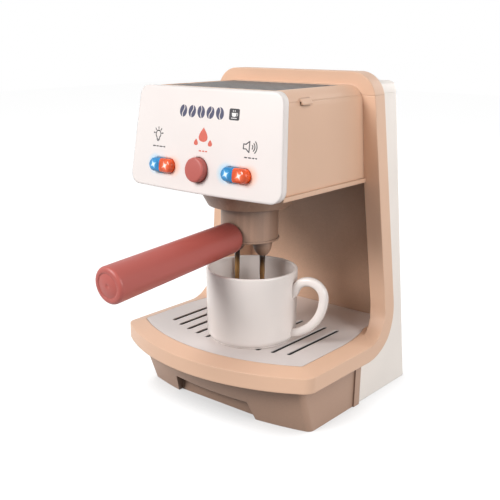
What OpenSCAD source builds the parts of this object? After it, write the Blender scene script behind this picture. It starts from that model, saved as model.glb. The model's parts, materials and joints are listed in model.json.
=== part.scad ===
// Toy espresso machine with portafilter, cup and drip tray.
// Millimetres. +Z is up, -Y is the front, +X is to the right seen from the front.
// The origin lies on the ground, on the centre plane, below the top of the frame's front face.

/* [Frame] */
// Overall height, to the top of the frame
height = 240; // [225:1:260]
// Width of the frame at its top
top_w = 141; // [132:1:150]
// Lean of each side of the frame, in degrees
side_lean = 4.9; // [4.6:0.1:5.4]
// Depth of the frame's band, front to back
band_t = 12.5; // [11:0.5:15]
// Backward lean of the band, in degrees
band_lean = 1.6; // [0:0.1:2.5]
// Radius of the frame's two top corners
top_r = 19; // [12:1:26]
// Inner radius where the tray sweeps up into the band
sweep_r = 24; // [18:1:28]
// Height of the seam below the lid
seam_z = 224; // [215:1:226]
// Width of the cup bay between the wings, just under the head
bay_w = 129; // [125:1:131]
// Lean of the wings' inner edges, in degrees
bay_lean = 5.3; // [4.5:0.1:5.6]

/* [Tray] */
// Height of the tray rim's outer top edge
rim_z = 48; // [44:0.5:54]
// Height of the tray rim's edge band
rim_t = 11; // [8:0.5:14]
// Distance that the tray reaches forward of the frame
tray_l = 117; // [110:1:125]
// Bow of the tray's front edge
tray_bow = 27; // [18:1:30]
// Radius of the tray's two front corners
tray_r = 10; // [6:1:14]
// Width of the rim's crowned top
rim_w = 12.5; // [10:0.5:15]
// Rise of the crown from its outer to its inner edge
crown = 3.8; // [1:0.1:5]
// Thickness of the drip plate
plate_t = 3; // [2:0.5:4]
// Width of the drip plate's rear part, in the bay
plate_rear_w = 134; // [124:1:135]
// Number of slots in the drip plate
slot_n = 11; // [7:1:13]
// Distance between slots
slot_pitch = 11; // [8:0.5:11.5]
// Width of a slot
slot_w = 3.2; // [1.5:0.1:4]
// Depth of the drip pan
pan_h = 24; // [12:1:25]
// Wall of the drip pan
pan_wall = 1.8; // [1.2:0.1:2.5]
// Width of the ledge that carries the drip plate
ledge = 12; // [8:1:13]

/* [Base] */
// Width of the base skirt on the ground
skirt_w = 152; // [146:1:154]
// Forward reach of the skirt on the ground
skirt_l = 85; // [78:1:88]
// How much the skirt's front overhangs toward the tray
skirt_over = 14; // [10:1:20]
// Width of the gap between the two front feet, at its top
foot_gap = 70; // [40:1:90]
// Height of that gap
foot_h = 14.5; // [10:0.5:19]
// Lean of that gap's two ends, in degrees
foot_lean = 13; // [0:1:20]
// Distance of that gap's middle to the right of the centre plane
foot_x = -4; // [-6:0.5:0]
// Wall of the skirt and of the rear shell
wall = 2.2; // [1.8:0.1:2.8]
// Thickness of the bottom plate
floor_t = 2.5; // [2:0.1:3.5]
// Gap between the ground and the bottom plate
floor_z = 0; // [0:0.1:1]

/* [Rear shell] */
// Width of the rear shell on the ground
shell_w = 150.6; // [147:0.2:152]
// Width of the rear shell at the seam
shell_top_w = 129; // [127:0.5:132]
// Distance from the origin back to the shell's rear face, on the ground
shell_l = 60; // [54:0.5:62]
// Distance from the origin back to the shell's rear face, at the seam
shell_top_l = 47; // [45:0.5:50]
// Height of the lid's rear cap above the seam
cap_h = 8.5; // [7:0.5:12]
// Distance from the origin to the back of the cup bay, at the plate
bay_l = 37; // [34:0.5:39]

/* [Head] */
// Height of the head's top
head_top = 231; // [228:0.5:234]
// Height of the head's underside
head_z = 163; // [160:0.5:166]
// Width of the head at its top
head_w = 123; // [119:1:124]
// Lean of the head's sides, in degrees
head_lean = 2.5; // [1.5:0.1:3]
// Distance from the frame to the back of the front panel, at the top
head_l = 86.5; // [80:0.5:90]
// Radius of the head's two top edges
head_r = 12; // [8:0.5:14]
// Thickness of the head's bottom cover
base_t = 3; // [2:0.5:4]
// How far the bottom cover stands out past the head's sides
ridge = 1.5; // [0.5:0.1:2.5]
// Number of slots in the top grille
grille_n = 12; // [8:1:14]
// Thickness of the top grille
grille_t = 2; // [1.5:0.5:3]

/* [Front panel] */
// Thickness of the front panel at its top side edge
panel_t = 5.2; // [4.5:0.1:9]
// How far the panel stands out past each side of the head, at the top
panel_over = 1.3; // [0:0.1:1.5]
// Lean of the panel's sides, in degrees
panel_side = 4.6; // [2.5:0.1:5]
// Forward lean of the panel's face, in degrees
panel_lean = 7.5; // [6:0.5:11]
// Bow of the panel's face
panel_bow = 3.6; // [2:0.2:6]
// Radius of the panel's corners
panel_r = 8; // [5:0.5:10]
// Wall of the front panel
panel_wall = 2.2; // [1.6:0.1:3]

/* [Buttons] */
// Height of the row of buttons
button_z = 178; // [175:0.5:182]
// Diameter of the round water button
water_d = 16.5; // [15:0.5:22]
// Distance of the two lit buttons from the centre
lamp_x = 33; // [31:0.5:36]
// Width of a lit button
lamp_w = 22; // [20:0.5:28]
// Height of a lit button
lamp_h = 9.5; // [9:0.5:14]
// How far the lit buttons stand out of the panel
lamp_out = 4; // [4:0.5:7]
// How far the round button stands out of the panel
water_out = 5; // [4:0.5:8]
// Travel of the buttons
travel = 2.5; // [1.5:0.1:3]
// Clearance around a button in its hole
button_gap = 0.4; // [0.3:0.05:0.8]
// Depth of the circuit board behind the panel's face
board_in = 17; // [16:0.5:20]

/* [Brew group] */
// Distance of the group's axis forward of the frame
group_l = 48; // [44:0.5:54]
// Diameter of the collar at its top
collar_top_d = 74; // [66:1:78]
// Diameter of the collar at its bottom
collar_d = 60.6; // [58:0.2:64]
// Height of the collar
collar_h = 16; // [14:0.5:18]
// Diameter of the portafilter's body
filter_d = 41.8; // [38:0.2:44]
// Height of the portafilter's body below the collar
filter_h = 25.5; // [20:0.5:27]
// Distance between the two spouts
spout_gap = 24; // [18:0.5:28]
// Length of a spout
spout_h = 11; // [9.5:0.5:14.5]
// Diameter of a spout at its mouth
spout_d = 6; // [5:0.2:7.2]
// Diameter of the portafilter's handle at its far end
grip_d = 24.8; // [20:0.2:26]
// Diameter of the portafilter's handle beside the body
grip_end_d = 22.4; // [18:0.2:24]
// Length of the portafilter's handle
grip_l = 119; // [90:1:130]
// Droop of the handle, in degrees
grip_droop = 4.3; // [0:0.1:5]
// Running clearance of the bayonet
bayonet_gap = 0.35; // [0.3:0.05:0.5]

/* [Cup] */
// Diameter of the cup's rim
cup_d = 65.8; // [60:0.2:70]
// Height of the cup
cup_h = 52.2; // [44:0.1:53]
// Wall of the cup
cup_wall = 2.6; // [2:0.1:3.4]
// Distance of the cup's axis to the right of the centre
cup_x = 12; // [0:1:13]
// Distance of the cup's axis forward of the frame
cup_y = 60; // [50:1:62]
// Direction of the cup's handle, in degrees to the rear of +X
cup_turn = 14; // [0:1:60]
// Radius of the upper bend of the cup's handle, along its middle
ear_r = 11; // [9:0.5:12.5]
// Thickness of the cup's handle
ear_t = 6.6; // [5:0.2:7.4]

/* [Inside] */
// Diameter of an AA cell
cell_d = 14.3; // [13.8:0.1:14.5]
// Length of an AA cell
cell_l = 50.3; // [49.5:0.1:50.5]
// Diameter of the screws' thread
screw_d = 2.6; // [2.2:0.1:3]
// Width of the water tank
tank_w = 112; // [90:1:116]
// Wall of the water tank
tank_wall = 1.8; // [1.2:0.1:2.5]
// Diameter of the pump's motor
motor_d = 21; // [18:0.5:24]
// Diameter of the speaker
speaker_d = 36; // [28:1:40]
// Outer diameter of the water hoses
hose_d = 6; // [5:0.2:6.4]

/* [Hidden] */
$fn = 96;

// Colours
peach = [0.80, 0.63, 0.50];
brown = [0.62, 0.47, 0.37];
cream = [0.92, 0.87, 0.81];
white = [0.96, 0.95, 0.94];
red = [0.66, 0.24, 0.22];
dark = [0.25, 0.26, 0.28];
steel = [0.75, 0.75, 0.76];

// Clearance between separate mouldings
gap = 0.3;
// Clearance under flat faces that rest on each other but can part
rest = 0.1;
rim_bot = rim_z - rim_t;
plate_top = rim_z + crown;
plate_bot = plate_top - plate_t;
// Half-widths at a height: frame, bay at the wings' face, head, rear shell, bay wall, front panel
function fw(z) = top_w / 2 + (height - z) * tan(side_lean);
function bw(z) = bay_w / 2 + (head_z - z) * tan(bay_lean);
function hw(z) = head_w / 2 + (head_top - z) * tan(head_lean);
function sw(z) = (shell_w + (shell_top_w - shell_w) * z / seam_z) / 2;
function lw(z) = sw(z) - 2 * wall - gap;
function pw(z) = panel_w / 2 + (head_top - z) * tan(panel_side);
panel_w = head_w + 2 * panel_over;
// Depths at a height: the band's front and rear face, the shell's rear face, the bay's back
function yf(z) = (height - z) * tan(band_lean);
function yr(z) = yf(z) + band_t;
function ys(z) = shell_l + (shell_top_l - shell_l) * z / seam_z;
spine = ys(plate_top) - bay_l;
function yb(z) = ys(z) - spine;
// Tray: the front edges of rim, plate and pan are concentric
rim_hw = fw(rim_z);
rim_R = (rim_hw * rim_hw + tray_bow * tray_bow) / (2 * tray_bow);
plate_hw = rim_hw - rim_w;
plate_l = tray_l - rim_w;
plate_R = rim_R - rim_w;
// The plate's sides bend in toward its rear part
bend_r = 130;
bend_y = -38;
bend_l = sqrt(bend_r * bend_r - pow(bend_r - plate_hw + plate_rear_w / 2, 2));
front_ledge = ledge + 8;
pan_hw = plate_hw - ledge;
pan_l = plate_l - front_ledge;
pan_R = plate_R - front_ledge;
pan_back = -8;
pan_lip = 3;
pan_lip_t = 1.2;
pan_bot = plate_bot - pan_h;
// Skirt: outlines on the ground and under the rim
skirt_end = -14;
skirt_R = 260;
skirt_flare = 1;
skirt_r = 5;
foot_half = foot_gap / 2 + (foot_h + wall) * tan(foot_lean);
base_hw = min(skirt_w / 2, sw(floor_z + floor_t)) - wall - gap;
boss_x = (pan_hw + skirt_w / 2 - wall) / 2;
boss_y = -45;
rear_boss_x = 62;
rear_boss_y = ys(30) - 6.5;
boss_r = 3.5;
floor_top = floor_z + floor_t;
pad_top = floor_top + 1.5;
head_d = 5.6;
head_h = 1.6;
seat_z = floor_z + head_h + 0.5;
// Batteries: three AA cells side by side under the tray
cell_n = 3;
cell_pitch = cell_d + 0.9;
cell_y = -40;
bay_in = [cell_l + 6.8, cell_n * cell_pitch + 1.4];
door_t = 2.6;
door_lip = 3;
bay_shell = 2;
cell_z = floor_z + door_t + gap + cell_d / 2;
bay_top = floor_z + door_t + cell_d + 1.2;
door_tab = 6.4;
recess_y = -max(skirt_l - 7, bay_in[1] / 2 - cell_y + door_lip + door_tab + bay_shell + wall + gap);
// Front panel: a plane leaning forward toward the bottom, bowed in plan
panel_R = (panel_w * panel_w / 4 + panel_bow * panel_bow) / (2 * panel_bow);
panel_y = head_l + panel_t + panel_bow;
panel_rear_lean = 7.2;
function py(z) = -panel_y - (head_top - z) * tan(panel_lean);
function pry(z) = -head_l - (head_top - z) * tan(panel_rear_lean);
panel_z = head_z - 0.8;
// Depth of the panel's face below its middle, at a distance from the centre
function sag(x) = panel_R - sqrt(panel_R * panel_R - x * x);
// Buttons and board, in the panel's own frame
flange_t = 1.4;
pin_d = 3;
switch_h = travel + 2;
board_t = 1.6;
pin_dip = 0.6;
lamp_flange = -(panel_wall + sag(lamp_x + lamp_w / 2) + gap);
lamp_r = lamp_h / 2;
lens_r = 2.2;
led_d = 3;
led_x = lamp_w / 4;
board_side = 4.6;
board_w = 2 * (hw(button_z + 24) - wall - board_side);
board_y0 = -(button_z - head_z - base_t - (board_in + board_t) * sin(panel_lean) - gap) / cos(panel_lean);
board_y1 = 24;
post_x = board_w / 2 - 4;
post_y = [board_y0 + 4, board_y1 - 5];
// Lid and grille
grille_w = head_w - 2 * head_r - 1;
grille_y0 = -(head_l - 4);
grille_y1 = -6;
grille_ledge = 3;
lip_h = 4;
lip_t = 1.2;
tab_l = 10.8;
lid_y = pry(head_top) + gap;
lip_x = hw(head_top - head_r) - head_r / cos(head_lean) - gap
    + sqrt(pow(head_r - wall, 2) - pow(seam_z - head_top + head_r, 2));
tab_y = -(head_l - 13.7);
tab_out = 2;
tab_down = 2;
tab_edge = 0.9;
tab_up = 2.4;
// Brew group
gy = -group_l;
collar_z = head_z - collar_h;
filter_z = collar_z - filter_h;
lip_in = filter_d / 2 + 3.3;
groove_r = lip_in + 3;
collar_lip = 4.5;
groove_h = 5.5;
lug_w = 28;
unlock = 45;
filter_wall = 3;
ring_h = 1.4;
ring_r = filter_d / 2 + 0.7;
grip_z = filter_z + 5.5;
grip_in = 5;
grip_inner_r = 5.5;
grip_outer_r = 2.5;
arm_r = 8.5;
arm_l = filter_d / 2 + 2;
peg_d = 8;
peg_l = 14;
spout_top_r = 6.8;
bar_h = 3;
bar_r = 7;
spout_l = spout_h - bar_h;
spout_in = spout_top_r - spout_d / 2;
spout_R = (spout_l * spout_l + spout_in * spout_in) / (2 * spout_in);
water_hole = 3.6;
// Cup
foot_r = cup_d / 2 - 4.6;
// Cup's handle: a round upper bend, a straight tail into the wall and a wide lower sweep
ear_x = cup_d / 2 + ear_r + 0.3;
ear_z = cup_h - ear_r - 5.5;
ear_tail = 20;
ear_tail_l = (ear_r * (1 - cos(ear_tail)) + 3.9) / sin(ear_tail);
ear_sweep = 82;
ear_low = 7;
ear_R = (ear_z - ear_low) / sin(ear_sweep);
// Water system
tank_z = head_z + wall + rest;
tank_top = seam_z - 3;
tank_y0 = 17;
tank_y1 = ys(seam_z) - wall - 1.8;
pump_x = 34;
pump_d = motor_d + 3;
pump_h = 13;
pump_z = head_z + base_t;
inlet_z = pump_z + 6;
outlet_z = pump_z + 8.5;
stub_d = 3.4;
stub_l = 7;
bend_R = 7;
barb_top = outlet_z - bend_R - 0.4;
speaker_x = -34;
speaker_y = gy + 3;

// Extrudes a (y, z) shape from x0 to x1
module yz(x0, x1) translate([x0, 0, 0]) rotate([90, 0, 90]) linear_extrude(x1 - x0) children();
// Extrudes an (x, z) shape from y0 to y1
module xz(y0, y1) translate([0, y1, 0]) rotate([90, 0, 0]) linear_extrude(y1 - y0) children();
module both() { children(); mirror([1, 0, 0]) children(); }
module trap(w0, z0, w1, z1) polygon([[-w0, z0], [w0, z0], [w1, z1], [-w1, z1]]);
// The sliver between a corner with edge directions d1 and d2 and the arc that rounds it
module corner2d(p, d1, d2, r) {
    h = acos(d1 * d2) / 2;
    t = r / tan(h);
    b = (d1 + d2) / norm(d1 + d2);
    c = p + b * r / sin(h);
    n1 = -(b - (b * d1) * d1) / norm(b - (b * d1) * d1);
    n2 = -(b - (b * d2) * d2) / norm(b - (b * d2) * d2);
    difference() {
        polygon([c, p + t * d1, p + t * d1 + n1, p + n1 + n2, p + t * d2 + n2, p + t * d2]);
        translate(c) circle(r + 0.01);
    }
}
// Plan outline with straight sides, a bowed front edge of radius R and rounded front corners
module plan2d(w, front, R, r, back, fn = 360, cfn = 96) {
    cy = front + R;
    c = [w - r, cy - sqrt(pow(R - r, 2) - pow(w - r, 2))];
    u = (c - [0, cy]) / norm(c - [0, cy]);
    difference() {
        intersection() {
            translate([0, cy]) circle(R, $fn = fn);
            translate([-w, front - 1]) square([2 * w, back - front + 1]);
        }
        both() difference() {
            polygon([c, [w + 3, c[1]], [w + 3, cy - sqrt(R * R - w * w) - 5], c + u * (r + 4)]);
            translate(c) circle(r, $fn = cfn);
        }
    }
}
module slab(z, h = 0.01) translate([0, 0, z]) linear_extrude(h) children();

// Frame: tray rim, wings and flange in one sweep
module band2d(solid = false) difference() {
    union() {
        polygon(solid
            ? [[-200, rim_bot], [yr(rim_bot), rim_bot], [yr(height + 9), height + 9], [-200, height + 9]]
            : [[-200, rim_bot], [yr(rim_bot), rim_bot], [yr(height), height], [yf(height), height],
               [yf(rim_z), rim_z], [-200, rim_z]]);
        if (!solid)
            corner2d([yf(rim_z), rim_z], [-1, 0], [-sin(band_lean), cos(band_lean)], sweep_r);
    }
    corner2d([yr(rim_bot), rim_bot], [-1, 0], [-sin(band_lean), cos(band_lean)], sweep_r + band_t);
}
module front2d() difference() {
    trap(fw(rim_bot - 1), rim_bot - 1, fw(height), height);
    both() corner2d([fw(height), height], [-1, 0], [sin(side_lean), -cos(side_lean)], top_r);
}
module band() intersection() {
    yz(-120, 120) band2d();
    xz(-150, 60) front2d();
    slab(0, height + 1) plan2d(rim_hw, -tray_l, rim_R, tray_r, 60);
}
module plate2d(g) {
    plan2d(plate_hw + g, -plate_l - g, plate_R + g, 3 + g, bend_y);
    intersection() {
        translate([plate_hw - bend_r, bend_y]) circle(bend_r + g, $fn = 360);
        translate([bend_r - plate_hw, bend_y]) circle(bend_r + g, $fn = 360);
        translate([-100, bend_y - 0.01]) square([200, bend_l]);
    }
    translate([-plate_rear_w / 2 - g, 0]) square([plate_rear_w + 2 * g, bay_l - gap + g]);
}
module pan2d(g) plan2d(pan_hw + g, -pan_l - g, pan_R + g, 8 + g, pan_back + g);
module frame() color(peach) difference() {
    union() {
        band();
        hull() {
            slab(rim_z - 1, 1) plan2d(rim_hw, -tray_l, rim_R, tray_r, yf(rim_z), 128, 32);
            slab(plate_top - 0.01) plan2d(plate_hw, -plate_l, plate_R, 3, yf(rim_z), 128, 32);
        }
        both() translate([boss_x, boss_y, pad_top]) cylinder(h = rim_bot - pad_top + 1, r = boss_r);
    }
    slab(plate_bot, 60) plate2d(gap);
    slab(0, 60) pan2d(gap);
    slab(plate_bot - pan_lip_t - rest, 60) pan2d(pan_lip + gap);
    xz(-60, 60) trap(lw(plate_top), plate_top, lw(height), height + 1);
    hull() {
        xz(-60, 1) trap(bw(plate_top), plate_top, bw(head_z), head_z);
        xz(19, 19.01) trap(lw(plate_top), plate_top, lw(head_z), head_z);
    }
    translate([-100, -20, seam_z]) cube([200, 60, 40]);
    both() translate([boss_x, boss_y, pad_top - 1]) cylinder(h = 18, d = screw_d);
}

// Base skirt with two front feet
module skirt_solid(g, e) hull() {
    slab(-e) plan2d(skirt_w / 2 - g, -skirt_l + g, skirt_R - g, skirt_r - g, skirt_end + e, 256, 32);
    slab(rim_bot - 0.01 + e) plan2d(skirt_w / 2 + skirt_flare - g, -skirt_l - skirt_over + g,
        skirt_R - g, skirt_r - g, skirt_end + e, 256, 32);
}
module foot2d(g) translate([foot_x, 0]) trap(foot_gap / 2 + g + (foot_h + g + 1) * tan(foot_lean), -1,
    foot_gap / 2 + g, foot_h + g);
module skirt() color(brown) {
    difference() {
        union() {
            difference() { skirt_solid(0, 0); skirt_solid(wall, 0.5); }
            intersection() {
                skirt_solid(0, 0);
                xz(-200, recess_y + wall) foot2d(wall);
            }
        }
        xz(-200, recess_y) foot2d(0);
    }
    both() xz(skirt_end - 7, skirt_end) polygon([[skirt_w / 2 - wall, 0], [skirt_w / 2 + 1.2, 0],
        [skirt_w / 2 + skirt_flare + 1.2, rim_bot], [skirt_w / 2 + skirt_flare - wall, rim_bot]]);
}

// Rear shell, open at the front, top and bottom
module shell_plan(w, back, g, r, front = -60) {
    translate([-w + g, front]) square([2 * (w - g), back - g - r - front]);
    hull() both() translate([w - g - r, back - g - r]) circle(r, $fn = 32);
}
module shell_solid(g, e, z1 = seam_z) hull() {
    slab(-e) shell_plan(sw(-e), ys(-e), g, 7 - g, skirt_end - e);
    slab(z1 - 0.01 + e) shell_plan(sw(z1 + e), ys(z1 + e), g, 7 - g, skirt_end - e);
}
module rear_shell() color(cream) {
    difference() {
        shell_solid(0, 0);
        shell_solid(wall, 1);
        yz(-120, 120) band2d(true);
        translate([-200, skirt_end - 2, -1]) cube([400, 2, 400]);
    }
    both() difference() {
        translate([rear_boss_x, rear_boss_y, pad_top]) cylinder(h = 26, r = boss_r + 1.5);
        translate([rear_boss_x, rear_boss_y, pad_top - 1]) cylinder(h = 18, d = screw_d);
    }
}

// Liner of the cup bay: back, two sides, floor and ceiling
module bay_wall() color(peach) difference() {
    intersection() {
        xz(-40, 80) trap(lw(plate_bot - wall) + wall, plate_bot - wall, lw(head_z + wall) + wall, head_z + wall);
        yz(-100, 100) polygon([[-20, plate_bot - wall], [yb(plate_bot - wall) + wall, plate_bot - wall],
            [yb(head_z + wall) + wall, head_z + wall], [-20, head_z + wall]]);
    }
    intersection() {
        xz(-41, 80) trap(lw(plate_bot), plate_bot, lw(head_z), head_z);
        yz(-100, 100) polygon([[-21, plate_bot], [yb(plate_bot), plate_bot], [yb(head_z), head_z],
            [-21, head_z]]);
    }
    yz(-120, 120) band2d(true);
}

// Bottom plate with the battery box
module box2d(g, t = 0) translate([-bay_in[0] / 2 - g, cell_y - bay_in[1] / 2 - g - t])
    square([bay_in[0] + 2 * g, bay_in[1] + 2 * g + t]);
module tab2d(g) translate([-8 - g, cell_y - bay_in[1] / 2 - door_lip - door_tab - g])
    square([16 + 2 * g, door_tab + door_lip]);
door_screw_y = cell_y - bay_in[1] / 2 - door_lip - door_tab + 4;
module base2d() {
    g = wall + gap;
    difference() {
        plan2d(base_hw, -skirt_l + g, skirt_R - g, skirt_r - g, 0);
        translate([foot_x - foot_half - g, -200]) square([2 * (foot_half + g), 200 + recess_y + g]);
    }
    shell_plan(base_hw, ys(0) - g, 0, 6, -1);
}
module base_screws() for (s = [-1, 1], p = [[boss_x, boss_y], [rear_boss_x, rear_boss_y]])
    translate([s * p[0], p[1], 0]) children();
module base_plate() color(brown) difference() {
    union() {
        slab(floor_z, floor_t) base2d();
        slab(floor_z, bay_top + bay_shell - floor_z) box2d(door_lip + bay_shell);
        slab(floor_z, door_t + 4) tab2d(bay_shell);
        intersection() {
            slab(floor_z, pad_top - floor_z) base2d();
            base_screws() cylinder(h = 9, r = boss_r + 1.5);
        }
    }
    slab(floor_z + door_t - 0.5, bay_top - floor_z - door_t + 0.5) box2d(0);
    slab(floor_z - 1, door_t + 1) { box2d(door_lip); tab2d(gap); }
    base_screws() {
        cylinder(h = 10, d = screw_d + 0.4);
        translate([0, 0, -1]) cylinder(h = seat_z + 1, d = head_d + 0.6);
    }
    translate([0, door_screw_y, 0]) cylinder(h = floor_z + door_t + 3.4, d = screw_d);
}
module battery_door() color(brown) difference() {
    slab(floor_z, door_t - rest) { box2d(door_lip - gap); tab2d(0); }
    translate([0, door_screw_y, 0]) {
        cylinder(h = 6, d = screw_d + 0.4);
        translate([0, 0, -1]) cylinder(h = floor_z + 2.3, d = head_d + 0.4);
    }
    for (i = [-4:4]) translate([-14, cell_y + 4 * i - 0.6, floor_z - 1]) cube([28, 1.2, 1.5]);
}
module cells() for (i = [0:cell_n - 1]) {
    y = cell_y + (i - (cell_n - 1) / 2) * cell_pitch;
    s = i % 2 == 0 ? 1 : -1;
    color(steel) translate([0, y, cell_z]) rotate([0, 90 * s, 0]) {
        translate([0, 0, -cell_l / 2]) cylinder(h = cell_l - 1, d = cell_d);
        translate([0, 0, cell_l / 2 - 1]) cylinder(h = 1, d = 5.4);
    }
}
module contacts() color(steel) for (i = [0:cell_n - 1], s = [-1, 1]) {
    y = cell_y + (i - (cell_n - 1) / 2) * cell_pitch;
    d = bay_in[0] / 2 - rest;
    translate([s * d, y, cell_z]) rotate([0, -90 * s, 0]) {
        translate([-6, -5, 0]) cube([12, 10, 0.5]);
        cylinder(h = d - cell_l / 2 - 0.05, d1 = 8, d2 = 5);
    }
}
module screw(l, h = head_h) {
    cylinder(h = h, d1 = head_d - 1.2, d2 = head_d);
    translate([0, 0, -l]) cylinder(h = l + 0.5, d = screw_d - 0.02);
}

// The panel's own frame: x right, y up along the face, z out of the face, at the row of buttons
module on_panel() translate([0, py(button_z), button_z]) rotate([90 - panel_lean, 0, 0]) children();
module screws() color(steel) {
    base_screws() translate([0, 0, seat_z]) mirror([0, 0, 1]) screw(14);
    translate([0, door_screw_y, floor_z + 1.3]) mirror([0, 0, 1]) screw(4, 1.1);
    on_panel() for (s = [-1, 1], y = post_y)
        translate([s * post_x, y, -board_in - board_t]) rotate([180, 0, 0]) screw(7);
}

// Drip tray
module drip_pan() color(brown) difference() {
    union() {
        slab(pan_bot, pan_h - rest) pan2d(0);
        slab(plate_bot - pan_lip_t, pan_lip_t - rest) pan2d(pan_lip);
    }
    slab(pan_bot + pan_wall, pan_h) pan2d(-pan_wall);
}
function slot_front(x) = -plate_l + plate_R - sqrt(plate_R * plate_R - x * x) + 21.5;
module drip_plate() color(white) difference() {
    slab(plate_bot, plate_t) plate2d(0);
    for (i = [0:slot_n - 1]) {
        x = (i - (slot_n - 1) / 2) * slot_pitch;
        translate([x, 0, plate_bot - 1]) {
            translate([-slot_w / 2, slot_front(x), 0]) cube([slot_w, -12 - slot_front(x), plate_t + 2]);
            for (y = [slot_front(x), -12]) translate([0, y, 0]) cylinder(h = plate_t + 2, d = slot_w);
        }
    }
}

// Head
module head2d(g) difference() {
    trap(hw(head_z - 5) - g, head_z - 5, hw(head_top) - g, head_top - g);
    both() corner2d([hw(head_top) - g, head_top - g], [-1, 0], [sin(head_lean), -cos(head_lean)],
        head_r - g);
}
module head_side2d(z0, z1, g = 0) polygon([[yf(z0) + g, z0], [yf(z1) + g, z1],
    [pry(z1) - g, z1], [pry(z0) - g, z0]]);
module head_shell() color(peach) intersection() {
    union() {
        difference() { xz(-120, 30) head2d(0); xz(-121, 31) head2d(wall); }
        translate([-hw(seam_z) + 1, -head_l - 2, seam_z - 6]) cube([2 * hw(seam_z) - 2, 4, 6]);
    }
    yz(-100, 100) head_side2d(head_z + base_t, seam_z);
}
module head_base() color(peach) difference() {
    union() {
        intersection() {
            slab(head_z, base_t) translate([-hw(head_z) - ridge, -120]) square([2 * (hw(head_z) + ridge), 180]);
            yz(-100, 100) head_side2d(head_z, head_z + base_t);
        }
        slab(head_z, base_t) translate([-lw(head_z) + gap, -10])
            square([2 * (lw(head_z) - gap), 10 + yr(head_z + base_t) - rest]);
        intersection() {
            difference() { xz(-120, 30) head2d(wall + gap); xz(-121, 31) head2d(wall + gap + lip_t); }
            translate([-100, -head_l + 2, head_z]) cube([200, head_l - 4, base_t + lip_h]);
        }
    }
    translate([0, gy, 0]) cylinder(h = 300, d = 9);
    for (a = [0:60:300]) translate([speaker_x + 7 * cos(a), speaker_y + 7 * sin(a), 0])
        cylinder(h = 300, d = 2.6, $fn = 24);
    translate([speaker_x, speaker_y, 0]) cylinder(h = 300, d = 2.6, $fn = 24);
}
module panel_corners(g) both() xz(-152, -58) {
    corner2d([pw(head_top) - g, head_top - g], [-1, 0], [sin(panel_side), -cos(panel_side)], panel_r - g);
    corner2d([pw(panel_z) - g, panel_z + g], [-1, 0], [-sin(panel_side), cos(panel_side)], panel_r - g);
}
module panel_block(g) difference() {
    intersection() {
        xz(-150, -60) trap(pw(panel_z) - g, panel_z + g, pw(head_top) - g, head_top - g);
        translate([0, py(head_top), head_top]) rotate([-panel_lean, 0, 0])
            translate([0, 0, -110]) linear_extrude(140) intersection() {
                translate([0, panel_R]) circle(panel_R - g, $fn = 720);
                translate([-90, -1]) square([180, 50]);
            }
        yz(-100, 100) polygon([[-200, panel_z - 1], [pry(panel_z - 1) + g, panel_z - 1],
            [pry(head_top + 1) + g, head_top + 1], [-200, head_top + 1]]);
    }
    panel_corners(g);
}
module capsule2d(w, r) { square([w - 2 * r, 2 * r], center = true); for (s = [-1, 1])
    translate([s * (w / 2 - r), 0]) circle(r); }
module panel() color(white) difference() {
    union() {
        difference() { panel_block(0); panel_block(panel_wall); }
        on_panel() for (s = [-1, 1], y = post_y) translate([s * post_x, y, -board_in])
            cylinder(h = board_in - sag(post_x) - 1, r = 2.8);
    }
    on_panel() {
        translate([0, 0, -9]) cylinder(h = 20, d = water_d + 2 * button_gap);
        for (s = [-1, 1]) translate([s * lamp_x, 0, -9]) linear_extrude(20)
            capsule2d(lamp_w + 2 * button_gap, lamp_r + button_gap);
        for (s = [-1, 1], y = post_y) translate([s * post_x, y, -board_in - 1])
            cylinder(h = 9, d = screw_d);
    }
}

// Lid
module lid_front() color(peach) {
    difference() {
        union() {
            difference() {
                intersection() { band(); translate([-200, -20, seam_z]) cube([400, 80, 80]); }
                translate([-hw(head_top) + 8, wall, seam_z - 1])
                    cube([2 * hw(head_top) - 16, band_t - 2 * wall, height - seam_z - wall + 1]);
            }
            intersection() {
                difference() { xz(-120, 30) head2d(0); xz(-121, -wall) head2d(wall); }
                yz(-100, 100) polygon([[yf(seam_z) + 1, seam_z], [yf(head_top + 1) + 1, head_top + 1],
                    [lid_y, head_top + 1], [lid_y, seam_z]]);
            }
            both() translate([lip_x - lip_t, -head_l + 4, seam_z - lip_h]) cube([lip_t, head_l - 6, lip_h + 2.5]);
            both() xz(tab_y, tab_y + tab_l) polygon([[hw(seam_z) - wall / 2, seam_z],
                [hw(seam_z - tab_down) + gap, seam_z], [hw(seam_z - tab_down) + gap, seam_z - tab_down],
                [hw(seam_z) + tab_out, seam_z - tab_down], [hw(seam_z) + tab_out, seam_z - tab_down + tab_edge],
                [hw(seam_z) - wall / 2, seam_z + tab_up]]);
        }
        slab(head_top - grille_t, 9) translate([-grille_w / 2 - gap, grille_y0 - gap])
            square([grille_w + 2 * gap, grille_y1 - grille_y0 + 2 * gap]);
        slab(seam_z, 19) translate([-grille_w / 2 + grille_ledge, grille_y0 + grille_ledge])
            square([grille_w - 2 * grille_ledge, grille_y1 - grille_y0 - 2 * grille_ledge]);
    }
    intersection() {
        slab(head_top - grille_t - 1.6, 1.6) difference() {
            translate([-grille_w / 2 - 4, grille_y0 - 4]) square([grille_w + 8, grille_y1 - grille_y0 + 8]);
            translate([-grille_w / 2 + grille_ledge, grille_y0 + grille_ledge])
                square([grille_w - 2 * grille_ledge, grille_y1 - grille_y0 - 2 * grille_ledge]);
        }
        xz(-120, 30) head2d(0.5);
        translate([-100, lid_y, seam_z]) cube([200, head_l, 20]);
    }
}
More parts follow.
